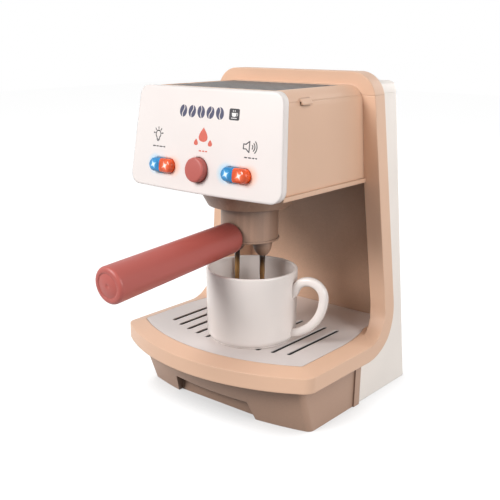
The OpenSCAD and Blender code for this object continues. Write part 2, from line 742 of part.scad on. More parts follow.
module lid_cap() color(cream) difference() {
    hull() {
        slab(seam_z) shell_plan(sw(seam_z), ys(seam_z), 0, 7, 5);
        slab(seam_z + cap_h - 4.6) shell_plan(sw(seam_z), ys(seam_z), 0.3, 6.7, 5);
        slab(seam_z + cap_h - 1.6) shell_plan(sw(seam_z), ys(seam_z), 1.6, 5.6, 5);
        slab(seam_z + cap_h - 0.01) shell_plan(sw(seam_z), ys(seam_z), 4.6, 3.5, 5);
    }
    hull() {
        slab(seam_z - 1) shell_plan(sw(seam_z), ys(seam_z), wall, 5, 4);
        slab(seam_z + cap_h - wall) shell_plan(sw(seam_z), ys(seam_z), wall + 2.6, 4, 4);
    }
    yz(-120, 120) band2d(true);
}
module grille() color(dark) difference() {
    slab(head_top - grille_t, grille_t - 0.4) translate([-grille_w / 2, grille_y0])
        square([grille_w, grille_y1 - grille_y0]);
    pitch = (grille_w - 8) / grille_n;
    for (i = [0:grille_n - 1]) translate([-grille_w / 2 + 4 + (i + 0.5) * pitch - 1.6, grille_y0 + 5,
        head_top - grille_t - 1]) cube([3.2, grille_y1 - grille_y0 - 10, 9]);
}

// Buttons
stem_end = -(board_in - switch_h) - pin_dip;
module water_button() color(red) on_panel() rotate_extrude() {
    difference() {
        translate([0, -3.4]) square([water_d / 2, water_out + 3.4]);
        corner2d([water_d / 2, water_out], [-1, 0], [0, -1], 1.5);
    }
    translate([0, -panel_wall - gap - flange_t]) square([water_d / 2 + 2, flange_t]);
    translate([0, -9]) square([3, 7]);
    translate([0, stem_end]) square([pin_d / 2, -stem_end - 5]);
}
module lamp_base(s) color(white) on_panel() translate([s * lamp_x, 0, 0]) difference() {
    union() {
        translate([0, 0, lamp_flange - flange_t]) linear_extrude(flange_t) capsule2d(lamp_w + 4, lamp_r + 2);
        translate([0, 0, -10]) cylinder(h = 10 + lamp_flange - 0.5, r = 2.4);
        translate([0, 0, stem_end]) cylinder(h = -stem_end - 6, d = pin_d);
    }
    for (t = [-1, 1]) translate([t * led_x, 0, -12]) cylinder(h = 12, d = led_d + 1.4);
}
module lens(s, t) on_panel() translate([s * lamp_x, 0, 0]) intersection() {
    union() {
        translate([0, 0, lamp_flange]) linear_extrude(lamp_out - lens_r - lamp_flange) capsule2d(lamp_w, lamp_r);
        for (e = [-1, 1]) translate([e * (lamp_w / 2 - lamp_r), 0, lamp_out - lens_r]) rotate_extrude()
            intersection() {
                square([lamp_r, lens_r]);
                union() {
                    square([lamp_r - lens_r, lens_r]);
                    translate([lamp_r - lens_r, 0]) circle(lens_r);
                }
            }
        translate([-(lamp_w / 2 - lamp_r), 0, lamp_out - lens_r]) rotate([90, 0, 90])
            linear_extrude(lamp_w - 2 * lamp_r) intersection() {
                translate([-lamp_r, 0]) square([2 * lamp_r, lens_r]);
                union() {
                    translate([-lamp_r + lens_r, 0]) square([2 * (lamp_r - lens_r), lens_r]);
                    for (q = [-1, 1]) translate([q * (lamp_r - lens_r), 0]) circle(lens_r);
                }
            }
    }
    translate([t > 0 ? 0.05 : -50.05, -50, -50]) cube([50, 100, 100]);
}
module light_base() lamp_base(-1);
module sound_base() lamp_base(1);
module light_blue() color([0.1, 0.5, 0.85]) lens(-1, -1);
module light_red() color([0.85, 0.3, 0.15]) lens(-1, 1);
module sound_blue() color([0.1, 0.5, 0.85]) lens(1, -1);
module sound_red() color([0.85, 0.3, 0.15]) lens(1, 1);
module board() color([0.1, 0.4, 0.25]) on_panel() difference() {
    translate([-board_w / 2, board_y0, -board_in - board_t]) cube([board_w, board_y1 - board_y0, board_t]);
    for (s = [-1, 1], y = post_y) translate([s * post_x, y, -board_in - 5])
        cylinder(h = 9, d = screw_d + 0.4);
}
module switches() color(dark) on_panel() for (x = [-lamp_x, 0, lamp_x])
    translate([x, 0, -board_in]) difference() {
        translate([-3.5, -3.5, 0]) cube([7, 7, switch_h]);
        translate([0, 0, 0.6]) cylinder(h = 9, d = pin_d + 0.4);
    }
module leds() color(white) on_panel() for (s = [-1, 1], t = [-1, 1])
    translate([s * lamp_x + t * led_x, 0, -board_in]) {
        cylinder(h = 1, d = led_d + 0.8);
        cylinder(h = 5.5, d = led_d);
        translate([0, 0, 5.5]) sphere(d = led_d);
    }
module speaker() color(dark) translate([speaker_x, speaker_y, pump_z]) rotate_extrude()
    polygon([[0, 2], [9, 2], [speaker_d / 2 - 3, 0], [speaker_d / 2, 0], [speaker_d / 2, 3],
        [speaker_d / 2 - 2, 3], [11, 9], [11, 14], [0, 14]]);

// Water tank, pump and hoses
module tank() color([0.8, 0.88, 0.92]) difference() {
    union() {
        translate([-tank_w / 2, tank_y0, tank_z]) cube([tank_w, tank_y1 - tank_y0, tank_top - tank_z]);
        translate([pump_x, tank_y0 + 0.5, inlet_z]) rotate([90, 0, 0]) cylinder(h = stub_l, d = stub_d);
    }
    translate([-tank_w / 2 + tank_wall, tank_y0 + tank_wall, tank_z + tank_wall])
        cube([tank_w - 2 * tank_wall, tank_y1 - tank_y0 - 2 * tank_wall, tank_top]);
    translate([pump_x, tank_y0 + 5, inlet_z]) rotate([90, 0, 0]) cylinder(h = 30, d = 1.6);
}
module pump_head() color(white) {
    translate([pump_x, gy, pump_z]) cylinder(h = pump_h, d = pump_d);
    translate([pump_x, gy + pump_d / 2 - 0.5, inlet_z]) rotate([-90, 0, 0]) cylinder(h = stub_l, d = stub_d);
    translate([pump_x - pump_d / 2 + 0.5, gy, outlet_z]) rotate([0, -90, 0])
        cylinder(h = stub_l, d = stub_d);
}
module pump_motor() color(steel) translate([pump_x, gy, pump_z + pump_h]) {
    cylinder(h = 25, d = motor_d);
    cylinder(h = 27.5, d = 8);
}
module hose_in() color(white) difference() {
    y0 = gy + pump_d / 2 + 1;
    translate([pump_x, y0, inlet_z]) rotate([-90, 0, 0]) cylinder(h = tank_y0 - 1 - y0, d = hose_d);
    translate([pump_x, y0 - 1, inlet_z]) rotate([-90, 0, 0]) cylinder(h = 100, d = stub_d);
}
module hose_out() color(white) translate([0, gy, 0]) difference() {
    x1 = pump_x - pump_d / 2 - 1;
    union() {
        translate([bend_R, 0, outlet_z]) rotate([0, 90, 0]) cylinder(h = x1 - bend_R, d = hose_d);
        translate([bend_R, 0, outlet_z - bend_R]) rotate([90, 0, 0]) rotate([0, 0, 90])
            rotate_extrude(angle = 90) translate([bend_R, 0]) circle(d = hose_d);
        translate([0, 0, head_z + 0.5]) cylinder(h = outlet_z - bend_R - head_z - 0.5, d = hose_d);
    }
    translate([x1 - stub_l, 0, outlet_z]) rotate([0, 90, 0]) cylinder(h = 2 * stub_l, d = stub_d);
    translate([0, 0, head_z]) cylinder(h = barb_top + 0.1 - head_z, d = stub_d);
}

// Brew group
module collar() color(brown) translate([0, gy, 0]) difference() {
    rotate_extrude() polygon([[water_hole / 4, collar_z + collar_lip + groove_h],
        [groove_r, collar_z + collar_lip + groove_h], [groove_r, collar_z + collar_lip],
        [lip_in, collar_z + collar_lip], [lip_in, collar_z], [collar_d / 2, collar_z],
        [collar_top_d / 2, head_z - 4], [collar_top_d / 2, head_z], [stub_d / 2, head_z],
        [stub_d / 2, barb_top], [water_hole / 4, barb_top]]);
    for (a = [0, 180]) rotate([0, 0, -unlock + a]) intersection() {
        translate([0, 0, collar_z - 1]) cylinder(h = collar_lip + 2, r = groove_r);
        rotate([0, 0, -lug_w / 2 - 4]) rotate_extrude(angle = lug_w + 8)
            translate([lip_in - 3, collar_z - 1]) square([9, collar_lip + 2]);
    }
}
module on_grip() translate([0, gy, grip_z]) rotate([90 + grip_droop, 0, 0]) children();
module portafilter() color(brown) difference() {
    union() {
        translate([0, gy, 0]) {
            translate([0, 0, filter_z]) cylinder(h = collar_z + 1 - filter_z, d = filter_d);
            translate([0, 0, filter_z]) cylinder(h = ring_h, r = ring_r);
            translate([0, 0, collar_z + 0.4])
                cylinder(h = collar_lip + groove_h - 0.8, r = lip_in - bayonet_gap);
            for (a = [0, 180]) rotate([0, 0, a - lug_w / 2]) rotate_extrude(angle = lug_w)
                translate([lip_in - 3, collar_z + collar_lip + rest])
                    square([groove_r - lip_in + 3 - bayonet_gap, groove_h - 0.5 - rest]);
        }
        on_grip() translate([0, 0, bar_r + 3]) {
            cylinder(h = arm_l - bar_r - 3, r = arm_r);
            cylinder(h = arm_l + peg_l - bar_r - 3, d = peg_d);
        }
    }
    translate([0, gy, filter_z + filter_wall]) cylinder(h = 60, r = filter_d / 2 - filter_wall);
    translate([0, gy, collar_z + 1]) cylinder(h = 60, r = filter_d / 2 - filter_wall + 2);
    for (s = [-1, 1]) translate([s * spout_gap / 2, gy, filter_z - 1]) cylinder(h = 20, d = water_hole);
}
module spouts() color(brown) translate([0, gy, 0]) difference() {
    union() {
        translate([0, 0, filter_z - bar_h]) linear_extrude(bar_h) capsule2d(spout_gap + 2 * bar_r, bar_r);
        for (s = [-1, 1]) translate([s * spout_gap / 2, 0, filter_z - bar_h]) rotate_extrude()
            intersection() {
                translate([0, -spout_l]) square([spout_top_r, spout_l]);
                translate([spout_top_r - spout_R, 0]) circle(spout_R, $fn = 180);
            }
    }
    for (s = [-1, 1]) translate([s * spout_gap / 2, 0, filter_z - spout_h - 1])
        cylinder(h = spout_h + 2, d = water_hole);
}
module grip() color(red) difference() {
    along = [grip_d - grip_end_d, 2 * grip_l] / norm([grip_d - grip_end_d, 2 * grip_l]);
    on_grip() translate([0, 0, arm_l - grip_in]) rotate_extrude() difference() {
        polygon([[0, 0], [grip_end_d / 2, 0], [grip_d / 2, grip_l], [0, grip_l]]);
        corner2d([grip_end_d / 2, 0], [-1, 0], along, grip_inner_r);
        corner2d([grip_d / 2, grip_l], [-1, 0], -along, grip_outer_r);
    }
    on_grip() cylinder(h = arm_l, r = arm_r + gap / 2);
    on_grip() cylinder(h = arm_l + peg_l + 0.5, d = peg_d);
    translate([0, gy, filter_z - grip_d]) cylinder(h = 2 * grip_d, r = ring_r + gap);
}

// Cup
module cup_outer2d() difference() {
    polygon([[0, 0], [foot_r, 0], [foot_r, 1.2], [cup_d / 2 - 0.7, 1.2], [cup_d / 2, cup_h], [0, cup_h]]);
    corner2d([cup_d / 2 - 0.7, 1.2], [-1, 0], [0, 1], 5);
}
module ear_arc(R, a) rotate_extrude(angle = a) translate([R, 0]) circle(d = ear_t, $fn = 48);
module ear() {
    ear_arc(ear_r, 180 - ear_tail);
    rotate([0, 0, 180 - ear_tail]) translate([ear_r, 0, 0]) rotate([-90, 0, 0])
        cylinder(h = ear_tail_l, d = ear_t, $fn = 48);
    translate([ear_r - ear_R, 0, 0]) rotate([0, 0, -ear_sweep]) ear_arc(ear_R, ear_sweep);
}
module cup() color(white) translate([cup_x, -cup_y, plate_top + rest]) difference() {
    union() {
        rotate_extrude() cup_outer2d();
        rotate([0, 0, cup_turn]) translate([ear_x, 0, ear_z]) rotate([90, 0, 0]) ear();
    }
    difference() {
        translate([0, 0, cup_wall]) cylinder(h = cup_h, r1 = cup_d / 2 - 0.6 - cup_wall,
            r2 = cup_d / 2 - cup_wall + 0.1);
        rotate_extrude() translate([0, cup_wall]) difference() {
            translate([cup_d / 2 - cup_wall - 5.6, -1]) square([9, 6]);
            translate([cup_d / 2 - cup_wall - 5.6, 5]) circle(5);
        }
    }
    translate([0, 0, -0.1]) cylinder(h = 0.9, r = foot_r - 2);
}

frame();
skirt();
rear_shell();
bay_wall();
base_plate();
battery_door();
cells();
contacts();
screws();
drip_pan();
drip_plate();
head_shell();
head_base();
panel();
lid_front();
lid_cap();
grille();
water_button();
light_base();
light_blue();
light_red();
sound_base();
sound_blue();
sound_red();
board();
switches();
leds();
speaker();
tank();
pump_head();
pump_motor();
hose_in();
hose_out();
collar();
portafilter();
spouts();
grip();
cup();
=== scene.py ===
"""Looks of the toy espresso machine: finishes, cup, handle, streams, printed panel and stage."""

import json
import math

import bmesh
import bpy
from mathutils import Matrix, Vector


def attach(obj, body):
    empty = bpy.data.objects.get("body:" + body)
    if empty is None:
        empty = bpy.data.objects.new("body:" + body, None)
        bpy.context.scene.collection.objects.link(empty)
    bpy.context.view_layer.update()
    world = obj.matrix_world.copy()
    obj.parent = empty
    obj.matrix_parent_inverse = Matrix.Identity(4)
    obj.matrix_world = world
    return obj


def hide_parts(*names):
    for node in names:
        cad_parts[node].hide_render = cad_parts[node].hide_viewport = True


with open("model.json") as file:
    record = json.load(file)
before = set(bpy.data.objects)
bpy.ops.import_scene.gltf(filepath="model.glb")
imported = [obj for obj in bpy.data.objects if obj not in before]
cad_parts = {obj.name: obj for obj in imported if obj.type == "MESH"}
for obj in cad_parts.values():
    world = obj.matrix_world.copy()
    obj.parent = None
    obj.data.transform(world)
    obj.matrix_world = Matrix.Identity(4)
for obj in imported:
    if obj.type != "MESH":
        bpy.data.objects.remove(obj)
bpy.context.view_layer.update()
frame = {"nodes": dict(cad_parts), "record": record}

bl_info = {
    "name": "Toy espresso machine",
    "version": (1, 0, 0),
    "blender": (4, 5, 0),
    "location": "View3D > Sidebar > Espresso",
    "description": "Finishes and detailed pieces for the toy espresso machine",
    "category": "Object",
}

MM, PER_METRE = 0.001, 1000
RECORD = frame["record"]
WHITE = (1.0, 1.0, 1.0, 1.0)

# The lit buttons, in mm: their distance from the panel's middle, that of each LED from the button's
# middle, the middles of the lenses, and how far out of its LED a halo sits
LAMP, LED = 33.0, 5.5
BLUE_LENSES, ORANGE_LENSES = (-LAMP - LED, LAMP - LED), (-LAMP + LED, LAMP + LED)
HALO_OUT = 4.0
# How far from a lens its halo and its rays fade, in mm, and how strong each is
HALO_FADE, RAY_FADE, HALO_STRENGTH, RAY_STRENGTH = (2.5, 8.5), (2.0, 3.5), 0.62, 0.75
# Between these, in metres, lies the panel's front; a distance behind it is put out of reach of the light
PANEL_FRONT, OUT_OF_REACH = (-0.09, -0.08), 99
# Colours of the painted glow on the panel round the blue and the orange lenses
BLUE_GLOW, ORANGE_GLOW = (0.2, 0.7, 1.0, 1.0), (1.0, 0.5, 0.3, 1.0)
# Heights of the buttons and of the painted star glints on them, in metres
LENS_ROW, STAR_ROW = 0.178, 0.1785
# The arms of the painted stars and rays are turned by 30 degrees
STAR_COS, STAR_SIN = 0.87, 0.5

# The drip plate's top, and half the width and the front of its slotted part, in metres
PLATE_TOP, SLOTS_HALF_WIDTH, SLOTS_FRONT = 0.0518, 0.059, -0.0875
# Colour of the painted shade inside the drip plate's slots
SLOT_SHADE = (0.02, 0.017, 0.016, 1.0)

# The finishes by name, made by the first operator
MATERIALS = {}


# Node graphs

class Value:
    """An output socket. Arithmetic on it adds Math nodes to its graph."""

    def __init__(self, graph, socket):
        self.graph = graph
        self.socket = socket

    def math(self, operation, *values):
        """The result of a Math node."""
        return self.graph.add("ShaderNodeMath", {"operation": operation}, dict(enumerate(values)))[0]

    def __add__(self, other):
        return self.math("ADD", self, other)

    def __radd__(self, other):
        return self.math("ADD", other, self)

    def __sub__(self, other):
        return self.math("SUBTRACT", self, other)

    def __rsub__(self, other):
        return self.math("SUBTRACT", other, self)

    def __mul__(self, other):
        return self.math("MULTIPLY", self, other)

    def __rmul__(self, other):
        return self.math("MULTIPLY", other, self)

    def __pow__(self, other):
        return self.math("POWER", self, other)

    def __abs__(self):
        return self.math("ABSOLUTE", self)

    def highest(self, other):
        """The larger of two values."""
        return self.math("MAXIMUM", self, other)

    def ramp(self, low, high, start=0.0, end=1.0):
        """Maps low..high smoothly to start..end."""
        return self.graph.add("ShaderNodeMapRange", {"interpolation_type": "SMOOTHSTEP"},
                              {"Value": self, "From Min": low, "From Max": high,
                               "To Min": start, "To Max": end})[0]


class Made:
    """A node's outputs, by name or number."""

    def __init__(self, graph, node):
        self.graph = graph
        self.node = node

    def __getitem__(self, key):
        return Value(self.graph, self.node.outputs[key])


class Graph:
    """A node tree, written as calls."""

    def __init__(self, tree):
        self.tree = tree
        tree.nodes.clear()

    def add(self, kind, settings=None, values=None):
        """Adds a node: its settings first, then the values or links of its sockets."""
        node = self.tree.nodes.new(kind)
        for key, value in (settings or {}).items():
            setattr(node, key, value)
        for key, value in (values or {}).items():
            if isinstance(value, Value):
                self.tree.links.new(value.socket, node.inputs[key])
            else:
                node.inputs[key].default_value = value
        return Made(self, node)

    def blend(self, factor, first, second):
        """Mixes two colours."""
        return self.add("ShaderNodeMix", {"data_type": "RGBA"}, {0: factor, 6: first, 7: second})[2]

    def vector(self, operation, first, second=None):
        """The result of a Vector Math node: a number for DOT_PRODUCT and LENGTH, otherwise a vector."""
        values = {0: first} if second is None else {0: first, 1: second}
        made = self.add("ShaderNodeVectorMath", {"operation": operation}, values)
        return made["Value" if operation in ("DOT_PRODUCT", "LENGTH") else "Vector"]

    def place(self):
        """The point on the object."""
        return self.add("ShaderNodeTexCoord")["Object"]

    def parts(self, vector):
        """X, Y and Z of a vector."""
        return self.add("ShaderNodeSeparateXYZ", None, {0: vector})

    def noise(self, place, scale, detail):
        """Smooth noise from 0 to 1."""
        return self.add("ShaderNodeTexNoise", None, {"Vector": place, "Scale": scale, "Detail": detail})[0]

    def drawn_noise(self, place, stretch, detail):
        """Noise with its own scale along each axis."""
        stretched = self.add("ShaderNodeMapping", None, {"Vector": place, "Scale": stretch})[0]
        return self.noise(stretched, 1.0, detail)

    def soft_normal(self, edge):
        """The normal with its edges rounded by so many mm."""
        return self.add("ShaderNodeBevel", {"samples": 6}, {"Radius": edge * MM})["Normal"]

    def bump(self, strength, distance, height, normal=None):
        """A normal roughened by a height."""
        values = {"Strength": strength, "Distance": distance, "Height": height}
        if normal is not None:
            values["Normal"] = normal
        return self.add("ShaderNodeBump", None, values)[0]

    def open_to(self, distance, samples, **values):
        """How open a point is to its surroundings, from 0 to 1."""
        values["Distance"] = distance
        return self.add("ShaderNodeAmbientOcclusion", {"samples": samples}, values)["AO"]

    def seen(self):
        """1 for rays that show a thing itself, in a gloss or through glass, and 0 for its light."""
        paths = self.add("ShaderNodeLightPath")
        shown = paths["Is Camera Ray"].highest(paths["Is Glossy Ray"])
        return shown.highest(paths["Is Transmission Ray"])


def linear(colour):
    """A colour of 0-255 sRGB numbers as the linear RGBA that sockets take."""
    parts = [c / 255 for c in colour]
    return tuple(p / 12.92 if p <= 0.04045 else ((p + 0.055) / 1.055) ** 2.4 for p in parts) + (1.0,)


def shade(colour, factor):
    """A linear colour made lighter or darker."""
    return tuple(min(1.0, c * factor) for c in colour[:3]) + (1.0,)


# Finishes

def new_material(name):
    """An empty material and its graph."""
    material = bpy.data.materials.new(name)
    material.use_nodes = True
    return material, Graph(material.node_tree)


def surface(graph, **values):
    """Ends the graph in a Principled surface; underscores stand for the spaces of socket names."""
    sockets = {key.replace("_", " "): value for key, value in values.items()}
    made = graph.add("ShaderNodeBsdfPrincipled", None, sockets)
    graph.add("ShaderNodeOutputMaterial", None, {"Surface": made[0]})


def star_spread(across, up):
    """Small along the four arms of a star, for distances in mm from its middle."""
    along, beside = across * STAR_COS + up * STAR_SIN, up * STAR_COS - across * STAR_SIN
    return abs(along) ** 0.5 + abs(beside) ** 0.5


def lamp_glow(g, place, tone, lenses, out, tint):
    """Painted light of the lit buttons on the front of the panel: a painted halo and thin painted rays round
    each lens, blended into its colour.
    """
    for centre in lenses:
        parts = g.parts(place)
        across, up = parts["X"] * PER_METRE - centre, (parts["Z"] - LENS_ROW) * PER_METRE
        behind = parts["Y"].ramp(*PANEL_FRONT) * OUT_OF_REACH
        off = across - out
        halo = 1.0 - ((off * off + up * up) ** 0.5 + behind).ramp(*HALO_FADE)
        rays = 1.0 - (star_spread(across, up) + behind).ramp(*RAY_FADE)
        tone = g.blend((halo * HALO_STRENGTH).highest(rays * RAY_STRENGTH), tone, tint)
    return tone


def moulded(name, colour, roughness=0.42, texture=0.05, edge=0.8, edge_highlight=1.06, depth=0.0, streaks=0.0,
            slotted=False, lit=False):
    """Injection-moulded plastic: a fine spark texture, faint flow marks, and soft edges painted paler as a
    painted highlight.

    depth darkens, as painted shade, what is less open than this many metres seen mostly from above; streaks
    adds drawn bands of painted highlight; slotted darkens the drip plate's slots with painted shade; and lit
    paints the light of the buttons onto the face.
    """
    material, g = new_material(name)
    place = g.place()
    soft = g.soft_normal(edge)
    flat = g.add("ShaderNodeNewGeometry")["Normal"]
    corner = (1.0 - g.vector("DOT_PRODUCT", soft, flat)).ramp(0.02, 0.3)
    flow, grain, cloud = g.noise(place, 14.0, 3.0), g.noise(place, 2600.0, 2.0), g.noise(place, 60.0, 4.0)
    base = g.blend(flow.ramp(0.3, 0.7), shade(colour, 0.975), shade(colour, 1.02))
    # Painted highlight: the rounded edges are blended toward a lighter copy of the colour
    tone = g.blend(corner * 0.7, base, shade(colour, edge_highlight))
    # Painted highlight: drawn vertical bands lighter than the colour, standing for streaks of reflection
    if streaks:
        bands = g.drawn_noise(place, (330.0, 330.0, 3.0), 1.0)
        tone = g.blend(bands.ramp(0.5, 0.75) * streaks, tone, shade(colour, 1.7))
    # Painted shade: what is less open from above is darkened toward a near-black copy of the colour,
    # standing for shade under the head and between parts
    if depth:
        above = g.vector("NORMALIZE", g.vector("ADD", flat, (0.0, 0.0, 0.9)))
        tone = g.blend((1.0 - g.open_to(depth, 8, Normal=above).ramp(0.05, 0.7)) * 0.72, tone,
                       shade(colour, 0.12))
    # Painted shade: the plate below its top, inside the slotted part, is darkened to stand for the shade in
    # the slots
    if slotted:
        at = g.parts(place)
        low = at["Z"].ramp(PLATE_TOP - 0.0012, PLATE_TOP - 0.0003, 1.0, 0.0)
        inner = (abs(at["X"]).ramp(SLOTS_HALF_WIDTH, SLOTS_HALF_WIDTH + MM, 1.0, 0.0)
                 * at["Y"].ramp(SLOTS_FRONT, SLOTS_FRONT + MM))
        tone = g.blend(low * inner, tone, SLOT_SHADE)
    # Painted light: halos and rays of the lit buttons are painted into the face's colour
    if lit:
        tone = lamp_glow(g, place, tone, BLUE_LENSES, -HALO_OUT, BLUE_GLOW)
        tone = lamp_glow(g, place, tone, ORANGE_LENSES, HALO_OUT, ORANGE_GLOW)
    surface(g, Base_Color=tone, Roughness=roughness + (cloud - 0.5) * 0.08 - corner * 0.06,
            Normal=g.bump(texture, 0.0002, grain, soft))
    return material


def glossy(name, colour, roughness=0.2):
    """Smooth, glossy moulded plastic with a faint ripple."""
    material, g = new_material(name)
    place = g.place()
    ripple, haze = g.noise(place, 90.0, 1.0), g.noise(place, 35.0, 4.0)
    base = g.blend(haze.ramp(0.3, 0.7), shade(colour, 0.98), shade(colour, 1.01))
    surface(g, Base_Color=base, Roughness=roughness + (haze - 0.5) * 0.08,
            Normal=g.bump(0.04, 0.001, ripple, g.soft_normal(0.6)))
    return material


def lens(name, colour, glow):
    """Tinted clear plastic with an LED shining behind it."""
    material, g = new_material(name)
    cloud = g.noise(g.place(), 220.0, 2.0)
    base = g.blend(cloud.ramp(0.3, 0.7), shade(colour, 0.85), shade(colour, 1.1))
    surface(g, Base_Color=base, Roughness=0.12 + cloud * 0.06, Normal=g.soft_normal(0.5),
            Emission_Color=base, Emission_Strength=glow)
    return material


def lamp_lens(name, colour, tint, centres):
    """Tinted lens over a lit LED, with painted light: its colour is tinted lighter toward each LED as a
    painted glow, and a white star glint is painted over each centre.
    """
    material, g = new_material(name)
    place = g.place()
    parts = g.parts(place)
    up = (parts["Z"] - STAR_ROW) * PER_METRE
    cloud = g.noise(place, 260.0, 3.0)
    stars, halos = [], []
    for centre in centres:
        across = parts["X"] * PER_METRE - centre
        near = (across * across + up * up) ** 0.5
        # Painted light: a white star glint and a glow round each LED
        stars.append((1.0 - star_spread(across, up).ramp(1.1, 2.3)).highest(1.0 - near.ramp(0.5, 1.5)))
        halos.append(1.0 - near.ramp(0.5, 4.5))
    star, glow = stars[0] + stars[1], halos[0] + halos[1]
    base = g.blend(cloud.ramp(0.3, 0.7), shade(colour, 0.8), shade(colour, 1.15))
    shine = g.blend(star, g.blend(glow * 0.5, shade(colour, 0.08), shade(colour, 1.0)), WHITE)
    surface(g, Base_Color=g.blend(glow * 0.15, base, tint), Roughness=0.14 + cloud * 0.08,
            Normal=g.soft_normal(0.4), Emission_Color=shine, Emission_Strength=0.9)
    return material


def metal(name, colour, roughness=0.3):
    """Brushed steel."""
    material, g = new_material(name)
    scratch = g.drawn_noise(g.place(), (80.0, 2500.0, 900.0), 3.0)
    surface(g, Base_Color=g.blend(scratch, shade(colour, 0.85), colour), Metallic=1.0,
            Roughness=roughness + (scratch - 0.5) * 0.15, Normal=g.bump(0.1, 0.0001, scratch))
    return material


def printed(name, colour):
    """A layer of pad-printing ink, slightly uneven."""
    material, g = new_material(name)
    grain = g.noise(g.place(), 1800.0, 2.0)
    surface(g, Base_Color=g.blend(grain.ramp(0.3, 0.7), shade(colour, 0.93), shade(colour, 1.05)),
            Roughness=0.45, Normal=g.bump(0.05, 0.0001, grain))
    return material


def poured(name):
    """Thin coffee, darker higher up on the streams toward the spouts, with drawn streaks."""
    material, g = new_material(name)
    place = g.place()
    streak = g.drawn_noise(place, (900.0, 900.0, 60.0), 3.0)
    drop = g.parts(place)["Z"].ramp(0.094, 0.111) + (streak - 0.5) * 0.6
    base = g.blend(drop.ramp(0.0, 1.0), linear((150, 112, 66)), linear((44, 27, 15)))
    surface(g, Base_Color=base, Roughness=0.12, Coat_Weight=0.5)
    return material


# Meshes

def added(name, data):
    """A new object in the scene."""
    item = bpy.data.objects.new(name, data)
    bpy.context.scene.collection.objects.link(item)
    return item


def aimed(name, data, place, way):
    """A camera or lamp that looks along way from its place."""
    item = added(name, data)
    item.location = place
    item.rotation_mode = "QUATERNION"
    item.rotation_quaternion = way.to_track_quat("-Z", "Y")
    return item


def piece(name, shape, body, finish=None, replaces=(), smooth=0.0):
    """Makes a bmesh or mesh a piece that rides on a body, smooth up to so many degrees."""
    mesh = closed(shape, name) if isinstance(shape, bmesh.types.BMesh) else shape
    item = added(name, mesh)
    if finish:
        mesh.materials.append(MATERIALS[finish])
    if smooth:
        mesh.shade_smooth()
        mesh.set_sharp_from_angle(angle=math.radians(smooth))
    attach(item, body)
    if replaces:
        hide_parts(*replaces)
    return item


def closed(bm, name):
    """Welds, turns the faces outwards and makes the mesh."""
    bmesh.ops.remove_doubles(bm, verts=bm.verts, dist=1e-6)
    bmesh.ops.recalc_face_normals(bm, faces=bm.faces)
    mesh = bpy.data.meshes.new(name)
    bm.to_mesh(mesh)
    bm.free()
    return mesh


def turns(n):
    """n angles evenly round a circle, in radians."""
    return [2 * math.pi * i / n for i in range(n)]


def polar(radius, angle):
    """The point at a radius and an angle in radians."""
    return radius * math.cos(angle), radius * math.sin(angle)


def arc(cx, cy, r, a0, a1, n):
    """Points of an arc, in degrees."""
    points = [polar(r, math.radians(a0 + (a1 - a0) * i / n)) for i in range(n + 1)]
    return [(cx + x, cy + y) for x, y in points]


def lathe(bm, profile, place, n=96):
    """Turns a profile of (radius, height) in mm about the z axis of place. Ends on the axis are closed."""
    rings = []
    for r, z in profile:
        if r < 1e-6:
            rings.append([bm.verts.new(place @ Vector((0, 0, z * MM)))])
        else:
            rings.append([bm.verts.new(place @ Vector((*polar(r * MM, angle), z * MM)))
                          for angle in turns(n)])
    for a, b in zip(rings, rings[1:]):
        for i in range(n):
            j = (i + 1) % n
            corners = [a[i % len(a)], a[j % len(a)], b[j % len(b)], b[i % len(b)]]
            face = list(dict.fromkeys(corners))
            if len(face) > 2:
                bm.faces.new(face)


def bridge(bm, rings):
    """Joins rings of equal length and closes both ends."""
    for a, b in zip(rings, rings[1:]):
        for i in range(len(a)):
            j = (i + 1) % len(a)
            bm.faces.new((a[i], a[j], b[j], b[i]))
    bm.faces.new(rings[0][::-1])
    bm.faces.new(rings[-1])


def sweep(bm, path, sections, side, place):
    """Sweeps one section for each point of a path that lies square to side, in mm."""
    rings = []
    for i, point in enumerate(path):
        ahead = path[min(i + 1, len(path) - 1)] - path[max(i - 1, 0)]
        out = side.cross(ahead).normalized()
        rings.append([bm.verts.new(place @ ((point + out * u + side * v) * MM)) for u, v in sections[i]])
    bridge(bm, rings)


def rounded(half_u, half_v):
    """A superellipse section."""
    points, power, n = [], 2.6, 28
    for angle in turns(n):
        c, q = polar(1, angle)
        points.append((half_u * math.copysign(abs(c) ** (2 / power), c),
                       half_v * math.copysign(abs(q) ** (2 / power), q)))
    return points


def modifier_tree(name, inputs=()):
    """A geometry node tree with these inputs after its geometry, its graph and its input node."""
    tree = bpy.data.node_groups.new(name, "GeometryNodeTree")
    tree.is_modifier = True
    for label, kind in (("Geometry", "NodeSocketGeometry"), *inputs):
        tree.interface.new_socket(label, in_out="INPUT", socket_type=kind)
    tree.interface.new_socket("Geometry", in_out="OUTPUT", socket_type="NodeSocketGeometry")
    g = Graph(tree)
    return tree, g, g.add("NodeGroupInput")


